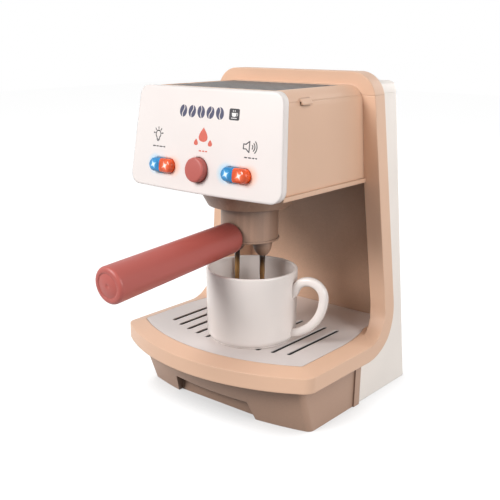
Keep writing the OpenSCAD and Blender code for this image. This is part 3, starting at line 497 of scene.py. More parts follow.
def repeated(name, points, shape, finish, spin=0.0, seed=0, bow=0.0):
    """A mesh with the shape at each point, turned at random up to spin.

    It is set back by bow times the square of the distance from its middle: half of one over the radius.
    """
    maker = bpy.data.objects.new(name + "_shape", shape)
    inputs = {"Shape": ("NodeSocketObject", maker), "Spin": ("NodeSocketFloat", spin),
              "Seed": ("NodeSocketInt", seed), "Bow": ("NodeSocketFloat", bow),
              "Finish": ("NodeSocketMaterial", finish)}
    tree, g, given = modifier_tree(name, [(label, kind) for label, (kind, _) in inputs.items()])
    spin_range = g.add("ShaderNodeCombineXYZ", None, {"Z": given["Spin"]})[0]
    least = g.vector("MULTIPLY", spin_range, (-1.0, -1.0, -1.0))
    turn = g.add("FunctionNodeRandomValue", {"data_type": "FLOAT_VECTOR"},
                 {"Min": least, "Max": spin_range, "Seed": given["Seed"]})
    model = g.add("GeometryNodeObjectInfo", None, {"Object": given["Shape"]})["Geometry"]
    placed = g.add("GeometryNodeInstanceOnPoints", None,
                   {"Points": given["Geometry"], "Instance": model, "Rotation": turn["Value"]})[0]
    real = g.add("GeometryNodeRealizeInstances", None, {"Geometry": placed})[0]
    across = g.parts(g.add("GeometryNodeInputPosition")[0])["X"]
    dip = g.add("ShaderNodeCombineXYZ", None, {"Z": 0.0 - across * across * given["Bow"]})[0]
    bent = g.add("GeometryNodeSetPosition", None, {"Geometry": real, "Offset": dip})[0]
    done = g.add("GeometryNodeSetMaterial", None, {"Geometry": bent, "Material": given["Finish"]})[0]
    g.add("NodeGroupOutput", None, {"Geometry": done})
    mesh = bpy.data.meshes.new(name)
    mesh.from_pydata([Vector(point) * MM for point in points], [], [])
    carrier = added(name, mesh)
    change = carrier.modifiers.new(name, "NODES")
    change.node_group = tree
    for socket in tree.interface.items_tree:
        if socket.in_out == "INPUT" and socket.name in inputs:
            change[socket.identifier] = inputs[socket.name][1]
    view = bpy.context.evaluated_depsgraph_get()
    made = bpy.data.meshes.new_from_object(carrier.evaluated_get(view))
    bpy.data.objects.remove(carrier)
    bpy.data.objects.remove(maker)
    return made


# Settings

class StageSettings(bpy.types.PropertyGroup):
    """Camera, floor and lamps."""

    azimuth: bpy.props.FloatProperty(
        name="Azimuth", description="Direction of the camera round the machine, from the front to the right",
        default=math.radians(40.02), subtype="ANGLE", unit="ROTATION")
    elevation: bpy.props.FloatProperty(
        name="Elevation", description="Height of the camera as an angle", default=math.radians(14.84),
        subtype="ANGLE", unit="ROTATION")
    camera: bpy.props.FloatVectorProperty(
        name="Camera", description="Place of the camera", default=(0.3693, -0.4967, 0.2664),
        subtype="TRANSLATION", unit="LENGTH")
    lens: bpy.props.FloatProperty(
        name="Focal length", description="Focal length of the camera, in millimetres", default=58.949)
    shift: bpy.props.FloatVectorProperty(
        name="Shift", description="Shift of the picture", default=(0.01627, -0.00145), size=2)
    floor: bpy.props.FloatProperty(
        name="Floor", description="Size of the floor", default=6.0, unit="LENGTH")
    ambient: bpy.props.FloatProperty(
        name="Ambient", description="Strength of the light from all round", default=0.2, min=0.0)
    key: bpy.props.FloatProperty(
        name="Key lamp", description="Power of the large lamp above the front", default=18.0, min=0.0)
    fill: bpy.props.FloatProperty(
        name="Left lamp", description="Power of the lamp on the left", default=1.1, min=0.0)
    side: bpy.props.FloatProperty(
        name="Right lamp", description="Power of the lamp on the right", default=13.2, min=0.0)
    rear: bpy.props.FloatProperty(
        name="Rear lamp", description="Power of the weak lamp behind", default=6.5, min=0.0)


class ColourSettings(bpy.types.PropertyGroup):
    """Colours of the mouldings."""

    peach: bpy.props.FloatVectorProperty(
        name="Housing", description="Colour of the frame, head and lid", default=linear((226, 186, 158))[:3],
        subtype="COLOR", size=3)
    tan: bpy.props.FloatVectorProperty(
        name="Base", description="Colour of the skirt, drip pan and brew group",
        default=linear((205, 166, 142))[:3], subtype="COLOR", size=3)
    cream: bpy.props.FloatVectorProperty(
        name="Rear shell", description="Colour of the rear shell and lid cap",
        default=linear((250, 241, 233))[:3], subtype="COLOR", size=3)
    white: bpy.props.FloatVectorProperty(
        name="White", description="Colour of the front panel and drip plate",
        default=linear((240, 231, 227))[:3], subtype="COLOR", size=3)
    red: bpy.props.FloatVectorProperty(
        name="Red", description="Colour of the handle and the round button",
        default=linear((188, 93, 84))[:3], subtype="COLOR", size=3)


class CupSettings(bpy.types.PropertyGroup):
    """The cup on the tray."""

    diameter: bpy.props.FloatProperty(
        name="Diameter", description="Diameter at the rim", default=0.0658, unit="LENGTH")
    height: bpy.props.FloatProperty(name="Height", description="Height", default=0.0522, unit="LENGTH")
    wall: bpy.props.FloatProperty(
        name="Wall", description="Thickness of the wall", default=0.0026, unit="LENGTH")
    place: bpy.props.FloatVectorProperty(
        name="Place", description="Middle of the foot", default=(0.012, -0.060, 0.0519),
        subtype="TRANSLATION", unit="LENGTH")
    turn: bpy.props.FloatProperty(
        name="Turn", description="Direction of the handle", default=math.radians(14), subtype="ANGLE",
        unit="ROTATION")
    bend: bpy.props.FloatProperty(
        name="Bend", description="Radius of the handle's upper bend", default=0.011, unit="LENGTH")
    thickness: bpy.props.FloatProperty(
        name="Thickness", description="Thickness of the handle", default=0.0064, unit="LENGTH")


class GroupSettings(bpy.types.PropertyGroup):
    """The handle, the filter holder and the coffee."""

    axis: bpy.props.FloatProperty(
        name="Axis", description="Distance of the filter holder forward of the frame", default=0.048,
        unit="LENGTH")
    height: bpy.props.FloatProperty(
        name="Height", description="Height of the handle's inner end", default=0.127, unit="LENGTH")
    droop: bpy.props.FloatProperty(
        name="Droop", description="Droop of the handle", default=math.radians(4.3), subtype="ANGLE",
        unit="ROTATION")
    body: bpy.props.FloatProperty(
        name="Body", description="Radius round the body that the handle stays clear of", default=0.0219,
        unit="LENGTH")
    start: bpy.props.FloatProperty(
        name="Start", description="Distance of the handle's inner end from the axis", default=0.0179,
        unit="LENGTH")
    length: bpy.props.FloatProperty(
        name="Length", description="Length of the handle", default=0.119, unit="LENGTH")
    near: bpy.props.FloatProperty(
        name="Inner diameter", description="Diameter of the handle beside the body", default=0.0224,
        unit="LENGTH")
    far: bpy.props.FloatProperty(
        name="Outer diameter", description="Diameter of the handle's far end", default=0.0248, unit="LENGTH")
    spouts: bpy.props.FloatProperty(
        name="Spouts", description="Distance between the two spouts", default=0.024, unit="LENGTH")
    mouth: bpy.props.FloatProperty(
        name="Mouth", description="Height of the spouts' mouths", default=0.1105, unit="LENGTH")
    level: bpy.props.FloatProperty(
        name="Level", description="Height of the coffee in the cup", default=0.068, unit="LENGTH")


class FaceSettings(bpy.types.PropertyGroup):
    """The front panel's face: its buttons and its print."""

    height: bpy.props.FloatProperty(
        name="Row", description="Height of the row of buttons", default=LENS_ROW, unit="LENGTH")
    depth: bpy.props.FloatProperty(
        name="Depth", description="Distance of the face forward of the frame at that row", default=0.10228,
        unit="LENGTH")
    lean: bpy.props.FloatProperty(
        name="Lean", description="Forward lean of the face", default=math.radians(7.5), subtype="ANGLE",
        unit="ROTATION")
    bow: bpy.props.FloatProperty(
        name="Bow", description="Radius of the face in plan", default=0.54956, unit="LENGTH")
    lamp: bpy.props.FloatProperty(
        name="Lamps", description="Distance of the lit buttons from the centre", default=LAMP * MM,
        unit="LENGTH")
    ink: bpy.props.FloatProperty(
        name="Ink", description="Thickness of the print", default=0.00006, unit="LENGTH")
    beans: bpy.props.IntProperty(
        name="Beans", description="Number of printed beans", default=5, min=1)
    seed: bpy.props.IntProperty(
        name="Seed", description="Seed of the turns of the beans and screws", default=4)


class ToySettings(bpy.types.PropertyGroup):
    """All settings of the toy."""

    cup: bpy.props.PointerProperty(type=CupSettings)
    group: bpy.props.PointerProperty(type=GroupSettings)
    face: bpy.props.PointerProperty(type=FaceSettings)
    stage: bpy.props.PointerProperty(type=StageSettings)
    colours: bpy.props.PointerProperty(type=ColourSettings)


def settings():
    """The settings of this scene."""
    return bpy.context.scene.toy_espresso


def smooth_shading():
    """A node group that shades a mesh smooth and keeps its edges above 30 degrees sharp."""
    tree, g, given = modifier_tree("smooth_shading")
    faces = g.add("GeometryNodeSetShadeSmooth", {"domain": "FACE"},
                  {"Geometry": given["Geometry"], "Shade Smooth": True})[0]
    angle = g.add("GeometryNodeInputMeshEdgeAngle")["Unsigned Angle"]
    flat = angle.math("LESS_THAN", angle, math.radians(30))
    edges = g.add("GeometryNodeSetShadeSmooth", {"domain": "EDGE"},
                  {"Geometry": faces, "Shade Smooth": flat})[0]
    g.add("NodeGroupOutput", None, {"Geometry": edges})
    return tree


# Operators

class ESPRESSO_OT_finishes(bpy.types.Operator):
    """Makes the finishes and puts them on the moulded parts"""

    bl_idname = "espresso.finishes"
    bl_label = "Finishes"

    def execute(self, context):
        colours = settings().colours
        peach, tan, cream, white, red = (tuple(colour) + (1.0,) for colour in (
            colours.peach, colours.tan, colours.cream, colours.white, colours.red))
        made = {
            # depth below paints shade under and between parts of the housing, base, handle and brew group
            "peach": moulded("peach_plastic", peach, edge=1.2, edge_highlight=1.22, depth=0.09),
            "tan": moulded("tan_plastic", shade(tan, 0.84), edge_highlight=1.1, depth=0.09),
            "cream": moulded("cream_plastic", cream),
            "white": moulded("white_plastic", white, roughness=0.34, texture=0.02, edge=2.2, lit=True),
            "white_gloss": glossy("cup_plastic", linear((236, 227, 222))),
            "grey": moulded("grey_plastic", linear((112, 108, 106)), edge=0.3),
            "red": moulded("red_plastic", shade(red, 0.94), roughness=0.4, texture=0.06, edge=1.2,
                           depth=0.07),
            "clear_white": lens("milky_plastic", linear((236, 240, 246)), 0.2),
            "blue_lens": lamp_lens("blue_lens", linear((0, 124, 184)), (0.4, 0.85, 1.0, 1.0), BLUE_LENSES),
            "orange_lens": lamp_lens("orange_lens", linear((222, 80, 24)), (1.0, 0.6, 0.35, 1.0),
                                     ORANGE_LENSES),
            "circuit_board": moulded("circuit_board", linear((34, 104, 66)), edge=0.1),
            "black": moulded("black_plastic", linear((38, 38, 40)), edge=0.3),
            "led_epoxy": lens("led_epoxy", linear((240, 244, 250)), 0.6),
            "tank_plastic": moulded("tank_plastic", linear((208, 222, 230)), roughness=0.25),
            "pump_plastic": moulded("pump_plastic", linear((226, 226, 222))),
            "steel": metal("steel", linear((196, 196, 198))),
            "hose": glossy("hose_rubber", linear((226, 232, 234)), roughness=0.3),
            "cell_wrap": moulded("cell_wrap", linear((120, 124, 128)), roughness=0.3),
            "print_dark": printed("dark_ink", linear((50, 48, 52))),
            "print_indigo": printed("indigo_ink", linear((72, 72, 98))),
            "print_light": printed("light_ink", linear((240, 238, 236))),
            "print_coral": printed("coral_ink", linear((214, 104, 86))),
            "coffee": poured("coffee"),
            # Painted shade: the plate is a darker copy of the panel's white
            "drip_plate": moulded("plate_plastic_painted_shade", shade(white, 0.88), roughness=0.34, texture=0.02,
                                  edge=0.6, slotted=True),
            # Painted shade: the pan is made nearly black to stand for the shade seen through the plate's
            # slots
            "drip_pan": moulded("pan_plastic_painted_shade", shade(tan, 0.1), edge=0.4),
            # Painted light: the frame is a slightly lighter copy of the housing colour
            "frame": moulded("frame_plastic_painted_light", shade(peach, 1.04), edge=1.2, edge_highlight=1.22),
        }
        # Painted shade: the brew group is a darker copy of the base plastic, with painted shade and painted
        # highlight streaks
        brew = moulded("brew_plastic_painted_shade", shade(tan, 0.67), edge_highlight=1.3, depth=0.09, streaks=0.22)
        made.update(collar=brew, portafilter=brew, spouts=brew)
        MATERIALS.update(made)
        smooth = smooth_shading()
        for part in RECORD["subparts"]:
            node = frame["nodes"][part["node"]]
            for place in node.material_slots:
                place.material = made.get(part["node"], made[part["material_slot"]])
            node.modifiers.new("weld", "WELD").merge_threshold = 1e-6
            node.modifiers.new("smooth", "NODES").node_group = smooth
        return {"FINISHED"}


class ESPRESSO_OT_cup(bpy.types.Operator):
    """Makes the cup with its rounded rim and swept handle"""

    bl_idname = "espresso.cup"
    bl_label = "Cup"

    def execute(self, context):
        use = settings().cup
        radius, height, wall = use.diameter / 2 / MM, use.height / MM, use.wall / MM
        place = Matrix.Translation(use.place) @ Matrix.Rotation(use.turn, 4, "Z")
        bm = bmesh.new()
        foot, lean, fillet, sole = radius - 4.6, 0.7, 5.0, 1.2
        edge = wall / 2 - 0.06
        inner = radius - wall
        profile = [(0, 0.8), (foot - 2.4, 0.8), (foot - 2.0, 0.5), (foot - 1.8, 0.12), (foot - 1.5, 0),
                   (foot - 0.5, 0), (foot - 0.12, 0.12), (foot, 0.5)]
        profile += arc(radius - lean - fillet, sole + fillet, fillet, -76, 0, 12)
        profile += [(radius - lean * (1 - k / 10), sole + fillet + (height - edge - sole - fillet) * k / 10)
                    for k in range(1, 10)]
        profile += arc(radius - edge, height - edge, edge, 0, 180, 12)
        profile += [(inner - 0.55 * k / 10, height - edge - (height - edge - wall - 5) * k / 10)
                    for k in range(1, 10)]
        profile += arc(inner - 5.6, wall + 5, 5, 0, -90, 10)
        lathe(bm, profile + [(0, wall)], place, 144)
        self.handle(bm, use, place, radius, height)
        piece("cup_body", bm, "cup", "white_gloss", ("cup",), 40)
        return {"FINISHED"}

    def handle(self, bm, use, place, radius, height):
        """The handle: a tail that rises out of the wall, a round bend and a wide sweep back to the foot."""
        bend, half = use.bend / MM, use.thickness / 2 / MM
        x, z = radius + bend + 0.3, height - bend - 5.5
        tail, sweep_a, low = 20, 82, 7
        sweep_r = (z - low) / math.sin(math.radians(sweep_a))
        upper = arc(x, z, bend, 180 - tail, 0, 26)
        lower = arc(x + bend - sweep_r, z, sweep_r, 0, -sweep_a, 24)
        top = Vector((upper[0][0], 0, upper[0][1]))
        down = Vector((-math.sin(math.radians(tail)), 0, -math.cos(math.radians(tail))))
        path = [top + down * step for step in (7.2, 6.4, 5.4, 4.2, 2.8, 1.4)]
        sizes = [0.34, 0.5, 0.66, 0.8, 0.92, 0.98]
        path += [Vector((u, 0, v)) for u, v in upper + lower[1:]]
        sizes += [1.0] * (len(path) - len(sizes))
        sections = [rounded(half * size, half * 1.02 * (0.4 + 0.6 * size)) for size in sizes]
        sweep(bm, path, sections, Vector((0, 1, 0)), place)


class ESPRESSO_OT_handle(bpy.types.Operator):
    """Makes the filter holder's handle"""

    bl_idname = "espresso.handle"
    bl_label = "Handle"

    def execute(self, context):
        use = settings().group
        start, length = use.start / MM, use.length / MM
        near, far = use.near / 2 / MM, use.far / 2 / MM
        arm, peg, arm_end, peg_end = 8.65, 4.0, 22.9, 37.4
        soft, edge = 5.5, 2.5
        end = start + length
        profile = [(0, peg_end), (peg, peg_end), (peg, arm_end), (arm, arm_end), (arm, start)]
        profile += [(arm + 0.2, start)]
        profile += [point for point in arc(near - soft, start + soft, soft, -90, 0, 20)
                    if point[0] > arm + 0.3]
        profile += [(near + (far - near) * k / 12, start + soft + (length - soft - edge) * k / 12)
                    for k in range(1, 13)]
        profile += arc(far - edge, end - edge, edge, 4, 90, 10)
        profile += [(far - edge - 1.2, end), (far - edge - 1.5, end - 0.35), (far - edge - 2.1, end - 0.35),
                    (far - edge - 2.5, end - 0.05), (1.6, end), (1.3, end - 0.25), (0, end - 0.3)]
        bm = bmesh.new()
        lathe(bm, profile, Matrix(), 96)
        lean = use.droop
        for vert in bm.verts:
            across, up, along = vert.co
            clear = (math.sqrt(max(use.body ** 2 - across ** 2, 0)) - up * math.sin(lean)) / math.cos(lean)
            if along < arm_end * MM - 0.0001:
                vert.co.z = max(along, clear)
        bm.transform(Matrix.Translation((0, -use.axis, use.height))
                     @ Matrix.Rotation(math.radians(90) + lean, 4, "X"))
        piece("handle_grip", bm, "portafilter", "red", ("grip",), 40)
        return {"FINISHED"}


class ESPRESSO_OT_coffee(bpy.types.Operator):
    """Makes the two streams of coffee and the coffee in the cup"""

    bl_idname = "espresso.coffee"
    bl_label = "Coffee"

    # Rings and sides of a stream
    RINGS, SIDES = 40, 24
    # A stream's radius at the top, what it loses on its way down and its most inside the spout, in mm
    THICK, LOSS, IN_SPOUT = 2.1, 0.55, 1.75
    # How far it wanders and how much it swells, in mm, each with its angle from end to end in radians
    WANDER, SWELL = (0.12, 9), (0.07, 23)
    # The share of its length from which it spreads into the coffee, and how steeply
    FLARE_FROM, FLARE = 0.94, 16

    def execute(self, context):
        use, cup = settings().group, settings().cup
        bm = bmesh.new()
        top, level = (use.mouth + 0.0008) / MM, use.level / MM
        for number, s in enumerate((-1, 1)):
            rings = []
            for k in range(self.RINGS + 1):
                t = k / self.RINGS
                height = top + (level + 0.2 - top) * t
                wave = self.WANDER[0] * math.sin(self.WANDER[1] * t + number * 2.1)
                radius = self.THICK - self.LOSS * t + self.SWELL[0] * math.sin(self.SWELL[1] * t + number)
                radius = min(radius, self.IN_SPOUT) if height > use.mouth / MM else radius
                if t > self.FLARE_FROM:
                    radius += (t - self.FLARE_FROM) * self.FLARE
                centre = Vector((s * use.spouts / 2 / MM + wave * min(1, 4 * t), -use.axis / MM, height))
                rings.append([bm.verts.new((centre + Vector((*polar(radius, angle), 0))) * MM)
                              for angle in turns(self.SIDES)])
            bridge(bm, rings)
        piece("coffee_streams", bm, "cup", "coffee", smooth=50)
        bm = bmesh.new()
        inner = (cup.diameter / 2 - cup.wall) / MM
        depth = level - cup.place[2] / MM
        wall = inner - 0.33
        profile = [(0, cup.wall / MM + 0.05)]
        profile += [(inner - 5.7 + 4.95 * math.sin(math.radians(a)),
                     cup.wall / MM + 5 - 4.95 * math.cos(math.radians(a))) for a in range(0, 91, 15)]
        profile += [(wall, depth + 0.5), (wall - 0.5, depth + 0.1), (wall - 1.6, depth),
                    (wall * 0.6, depth + 0.05), (wall * 0.3, depth), (0, depth)]
        lathe(bm, profile, Matrix.Translation(cup.place), 96)
        piece("coffee_pool", bm, "cup", "coffee", smooth=50)
        return {"FINISHED"}


def face_place(use):
    """The panel's own frame: x right, y up along the face, z out of it, at the row of buttons."""
    return (Matrix.Translation((0, -use.depth, use.height))
            @ Matrix.Rotation(math.radians(90) - use.lean, 4, "X"))


def half_capsule(side, inset):
    """Outline of half a lit button, in mm."""
    radius = 4.75 - inset
    seam, corner, centre = 0.05, 3.1, 6.25
    points = [(seam, -radius), (corner, -radius)] + arc(centre, 0, radius, -90, 90, 20)
    points += [(corner, radius), (seam, radius)]
    return [(side * x, y) for x, y in points]


class ESPRESSO_OT_lenses(bpy.types.Operator):
    """Makes the four coloured lenses of the lit buttons"""

    bl_idname = "espresso.lenses"
    bl_label = "Lenses"

    # Inset and height above the face of each ring of a lens, in mm
    STEPS = ((0, -4.26), (0, 1.5), (0.1, 2.1), (0.36, 2.7), (0.8, 3.2), (1.45, 3.6), (2.35, 3.86),
             (3.3, 3.98))

    def execute(self, context):
        use = settings().face
        place = face_place(use)
        for button, s in (("light", -1), ("sound", 1)):
            for colour, slot, side in (("blue", "blue_lens", -1), ("red", "orange_lens", 1)):
                bm = bmesh.new()
                bridge(bm, [[bm.verts.new(place @ (Vector((x + s * use.lamp / MM, y, z)) * MM))
                             for x, y in half_capsule(side, inset)] for inset, z in self.STEPS])
                piece(f"{button}_{colour}_lens", bm, f"{button}_button", slot,
                      (f"{button}_{colour}",), 50)
        return {"FINISHED"}


def stroke(points, width, shut=False):
    """Outlines of the pieces of a line of some width, which lap over each other at its corners."""
    lap = 0.6
    pairs = list(zip(points, points[1:])) + ([(points[-1], points[0])] if shut else [])
    outlines = []
    for (x0, y0), (x1, y1) in pairs:
        length = math.hypot(x1 - x0, y1 - y0)
        ux, uy = (x1 - x0) / length * width / 2, (y1 - y0) / length * width / 2
        outlines.append([(x0 - ux * lap - uy, y0 - uy * lap + ux), (x0 - ux * lap + uy, y0 - uy * lap - ux),
                         (x1 + ux * lap + uy, y1 + uy * lap - ux), (x1 + ux * lap - uy, y1 + uy * lap + ux)])
    return outlines


def moved(outlines, x, y):
    """The outlines, moved."""
    return [[(u + x, v + y) for u, v in outline] for outline in outlines]


def bar(x, y, width, height):
    """A bar with round ends."""
    r = height / 2
    return (arc(x + width / 2 - r, y, r, -90, 90, 8) + arc(x - width / 2 + r, y, r, 90, 270, 8))


def caption(x, y, widths, gap=0.7):
    """A row of plain bars round x, in place of a caption."""
    left = x - (sum(widths) + gap * (len(widths) - 1)) / 2
    bars = []
    for width in widths:
        bars.append(bar(left + width / 2, y, width, 0.8))
        left += width + gap
    return bars


def drop(x, y, width, height):
    """A drop with its tip up."""
    belly, taper = width * 0.62, 1.3
    points = [(x + belly * math.sin(t) * math.sin(t / 2) ** taper, y + height / 2 * math.cos(t))
              for t in turns(36)]
    return points[::-1]


def rounded_square(x, y, width, height, r):
    """A rectangle with round corners."""
    u, v = width / 2 - r, height / 2 - r
    return (arc(x + u, y - v, r, -90, 0, 6) + arc(x + u, y + v, r, 0, 90, 6)
            + arc(x - u, y + v, r, 90, 180, 6) + arc(x - u, y - v, r, 180, 270, 6))


def bean_halves(width, height, n=14):
    """The two halves of a coffee bean with a curved cleft between them."""
    halves = []
    sway, gap, cleft_reach = 0.09 * width, 0.055 * width, height / 2 * 0.93
    steps = [2 * k / n - 1 for k in range(n + 1)]
    angles = [math.pi * (0.04 + 0.92 * k / n) for k in range(n + 1)]
    for side in (1, -1):
        cleft = [(sway * math.sin(math.pi * t) + side * gap, cleft_reach * t) for t in steps]
        outer = [(side * width / 2 * math.sin(angle), height / 2 * math.cos(angle)) for angle in angles]
        outline = cleft + outer
        halves.append(outline if side < 0 else outline[::-1])
    return halves


class ESPRESSO_OT_print(bpy.types.Operator):
    """Prints the row of beans and the pictograms on the front panel"""

    bl_idname = "espresso.print"
    bl_label = "Print"

    # Middles of the printed signs on the face, then the height, middle and pitch of the row of beans, in mm
    BADGE, BULB, SPEAKER = (27.2, 38.2), (-40.8, 19.6), (41.4, 18.8)
    BEAN_ROW, BEAN_MIDDLE, BEAN_PITCH = 38.1, -1.0, 8.15

    def execute(self, context):
        use = settings().face
        self.layer("print_dark", self.dark(), use, use.ink)
        self.layer("print_coral", self.coral(), use, use.ink)
        self.layer("print_light", self.light(), use, 2 * use.ink)
        bm = bmesh.new()
        for outline in bean_halves(6.6, 8.2):
            self.flat(bm, outline, use.ink, None)
        points = [(self.BEAN_MIDDLE + (i - (use.beans - 1) / 2) * self.BEAN_PITCH, self.BEAN_ROW, 0)
                  for i in range(use.beans)]
        made = repeated("beans", points, closed(bm, "bean"), MATERIALS["print_indigo"],
                        math.radians(16), use.seed, 0.5 / use.bow)
        made.transform(face_place(use))
        piece("print_beans", made, "machine")
        return {"FINISHED"}

    def layer(self, finish, outlines, use, ink):
        """One colour of the print, on the bowed face, as a piece with its finish's name."""
        bm = bmesh.new()
        for outline in outlines:
            self.flat(bm, outline, ink, use.bow)
        bm.transform(face_place(use))
        piece(finish, bm, "machine", finish)

    def flat(self, bm, outline, ink, bow):
        """A thin layer with this outline."""
        rings = []
        for height in (-ink * 0.4, ink):
            ring = []
            for x, y in outline:
                dip = bow - math.sqrt(bow ** 2 - (x * MM) ** 2) if bow else 0.0
                ring.append(bm.verts.new((x * MM, y * MM, height - dip)))
            rings.append(ring)
        bridge(bm, rings)

    def dark(self):
        """The badge, the bulb, the speaker and their captions."""
        outlines = [rounded_square(*self.BADGE, 8.2, 7.4, 1.1)]
        cap = [(-1.2, -1.9), (-1.2, -2.6), (1.2, -2.6), (1.2, -1.9)]
        bulb = stroke(arc(0, 1.2, 2.5, -50, 230, 18) + cap, 0.75, True) + [bar(0, -3.5, 2.2, 0.55)]
        for angle in (10, 50, 90, 130, 170):
            ray = [polar(radius, math.radians(angle)) for radius in (3.5, 4.9)]
            bulb += stroke([(x, 1.2 + y) for x, y in ray], 0.75)
        cone = [(-5, -1.5), (-3, -1.5), (-0.4, -3.5), (-0.4, 3.5), (-3, 1.5), (-5, 1.5)]
        speaker = stroke(cone, 0.7, True)
        for radius, angle in ((1.8, 42), (3.4, 45), (5.0, 46)):
            speaker += stroke(arc(0.4, 0, radius, -angle, angle, 10), 0.65)
        outlines += moved(bulb, *self.BULB) + moved(speaker, *self.SPEAKER)
        outlines += caption(-39.4, 12.5, (3.1, 2.3, 3.4, 2.0)) + caption(42.6, 11.9, (2.2, 2.6, 1.6, 1.4))
        return outlines

    def coral(self):
        """The three drops and their caption."""
        return ([drop(2.4, 23.5, 8.6, 9.6), drop(-3.7, 18.4, 4.0, 4.4), drop(8.8, 18.4, 4.0, 4.4)]
                + caption(3.1, 12.7, (2.4, 2.0, 1.8)))

    def light(self):
        """The plain cup on the badge."""
        cup = [(-2.1, 1.0), (-1.8, -0.8), (-1.2, -1.5), (0.8, -1.5), (1.4, -0.8), (1.7, 1.0)]
        outlines = [cup[::-1]] + stroke(arc(1.7, 0.0, 0.95, -75, 75, 8), 0.4) + [bar(-0.2, -2.4, 4.6, 0.45)]
        outlines += [bar(-1.0, 2.2, 0.4, 1.1), bar(0.5, 2.2, 0.4, 1.1)]
        return moved(outlines, *self.BADGE)


class ESPRESSO_OT_screws(bpy.types.Operator):
    """Paints the shade of the cross recesses of the screws in the underside, as thin black crosses"""

    bl_idname = "espresso.screws"
    bl_label = "Screws"

    # Middles of the recesses in the four screws of the bottom plate and the one of the battery door, in mm
    HEADS = ((-68.13, -45.0, 0.5), (68.13, -45.0, 0.5), (-62.0, 51.76, 0.5), (62.0, 51.76, 0.5),
             (0.0, -68.9, 0.2))
    # Reach and half the width of a recess's arms, and its lower and upper end
    ARM, HALF, ENDS = 1.7, 0.42, (-0.06, 0.05)

    def execute(self, context):
        use = settings().face
        bm = bmesh.new()
        arm, half = self.ARM, self.HALF
        outline = [(arm, -half), (arm, half), (half, half), (half, arm), (-half, arm), (-half, half),
                   (-arm, half), (-arm, -half), (-half, -half), (-half, -arm), (half, -arm), (half, -half)]
        # Painted shade: a thin black cross stands for the shade inside each recess
        bridge(bm, [[bm.verts.new((x * MM, y * MM, z * MM)) for x, y in outline] for z in self.ENDS])
        made = repeated("recesses", self.HEADS, closed(bm, "recess"), MATERIALS["black"], math.pi, use.seed)
        piece("screw_recesses", made, "machine")
        return {"FINISHED"}


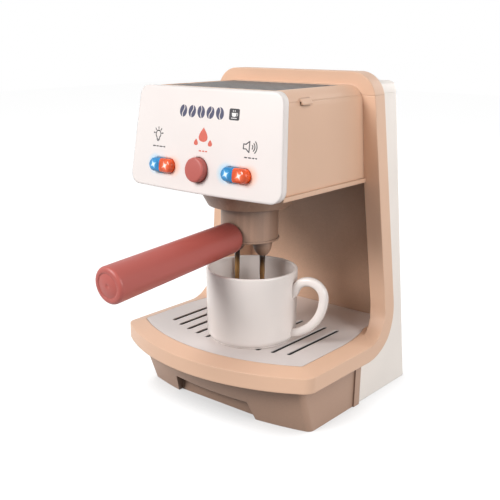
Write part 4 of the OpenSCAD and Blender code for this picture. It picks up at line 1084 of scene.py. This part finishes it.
class ESPRESSO_OT_stage(bpy.types.Operator):
    """Sets up the camera, the floor, the lamps and the pale surroundings"""

    bl_idname = "espresso.stage"
    bl_label = "Stage"

    def execute(self, context):
        use = settings().stage
        scene = context.scene
        scene.view_settings.view_transform = "Standard"
        self.camera(scene, use)
        self.floor(use)
        self.world(scene, use)
        self.lamps(use)
        return {"FINISHED"}

    def camera(self, scene, use):
        """The camera, for a square picture."""
        data = bpy.data.cameras.new("camera")
        data.sensor_width = 36.0
        data.lens = use.lens
        data.shift_x, data.shift_y = use.shift
        data.clip_start, data.clip_end = 0.01, 50.0
        back = Vector((math.sin(use.azimuth) * math.cos(use.elevation),
                       -math.cos(use.azimuth) * math.cos(use.elevation), math.sin(use.elevation)))
        scene.camera = aimed("camera", data, use.camera, -back)

    def floor(self, use):
        """A white floor: where the camera sees it, its white is dimmed near the toy as a painted contact
        shadow, and its lit part keeps a faint shadow of the toy.
        """
        mesh = bpy.data.meshes.new("floor")
        half = use.floor / 2
        mesh.from_pydata([(-half, -half, 0), (half, -half, 0), (half, half, 0), (-half, half, 0)], [],
                         [(0, 1, 2, 3)])
        floor = added("floor", mesh)
        material, g = new_material("floor")
        lit = g.add("ShaderNodeBsdfDiffuse", None, {"Color": (0.3, 0.3, 0.3, 1.0)})[0]
        # Painted shadow: the white is dimmed where the toy hems the floor in
        contact_shadowed_white = 0.5 + g.open_to(0.035, 12).ramp(0.25, 0.92) * 0.42
        white = g.add("ShaderNodeEmission", None, {"Color": WHITE, "Strength": contact_shadowed_white})[0]
        shown = g.add("ShaderNodeAddShader", None, {0: white, 1: lit})[0]
        mixed = g.add("ShaderNodeMixShader", None, {0: g.seen(), 1: lit, 2: shown})[0]
        g.add("ShaderNodeOutputMaterial", None, {"Surface": mixed})
        mesh.materials.append(material)

    def world(self, scene, use):
        """Even light from all round, and white where the camera sees it."""
        world = bpy.data.worlds.new("surroundings")
        world.use_nodes = True
        g = Graph(world.node_tree)
        strength = use.ambient + g.seen() * (1.0 - use.ambient)
        light = g.add("ShaderNodeBackground", None, {"Color": WHITE, "Strength": strength})[0]
        g.add("ShaderNodeOutputWorld", None, {"Surface": light})
        scene.world = world

    def lamps(self, use):
        """A large soft lamp above the front, a weaker one on each side and one behind."""
        middle = Vector((0, 0, 0.12))
        for name, power, size, place in (("key", use.key, 0.7, (-0.37, -1.22, 0.9)),
                                         ("fill", use.fill, 0.9, (-1.2, -0.5, 0.55)),
                                         ("side", use.side, 0.9, (1.5, -0.1, 0.6)),
                                         ("rear", use.rear, 0.9, (0.3, 1.45, 0.55))):
            data = bpy.data.lights.new(name, "AREA")
            data.shape = "DISK"
            data.size = size
            data.energy = power
            aimed(name, data, place, middle - Vector(place))


class ESPRESSO_PT_panel(bpy.types.Panel):
    """The toy's settings and steps."""

    bl_idname = "ESPRESSO_PT_panel"
    bl_label = "Toy espresso machine"
    bl_space_type = "VIEW_3D"
    bl_region_type = "UI"
    bl_category = "Espresso"

    def draw(self, context):
        use = context.scene.toy_espresso
        for group in (use.cup, use.group, use.face, use.colours, use.stage):
            box = self.layout.box()
            for name in group.__annotations__:
                box.prop(group, name)
        for step in STEPS:
            self.layout.operator(step.bl_idname)


GROUPS = (StageSettings, ColourSettings, CupSettings, GroupSettings, FaceSettings, ToySettings)
STEPS = (ESPRESSO_OT_finishes, ESPRESSO_OT_cup, ESPRESSO_OT_handle, ESPRESSO_OT_coffee,
         ESPRESSO_OT_lenses, ESPRESSO_OT_screws, ESPRESSO_OT_print, ESPRESSO_OT_stage)
CLASSES = GROUPS + STEPS + (ESPRESSO_PT_panel,)


def register():
    for each in CLASSES:
        bpy.utils.register_class(each)
    bpy.types.Scene.toy_espresso = bpy.props.PointerProperty(type=ToySettings)


def unregister():
    del bpy.types.Scene.toy_espresso
    for each in reversed(CLASSES):
        bpy.utils.unregister_class(each)


def main():
    """Registers the add-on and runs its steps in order."""
    register()
    for step in STEPS:
        group, name = step.bl_idname.split(".")
        getattr(getattr(bpy.ops, group), name)()


if __name__ == "__main__":
    main()
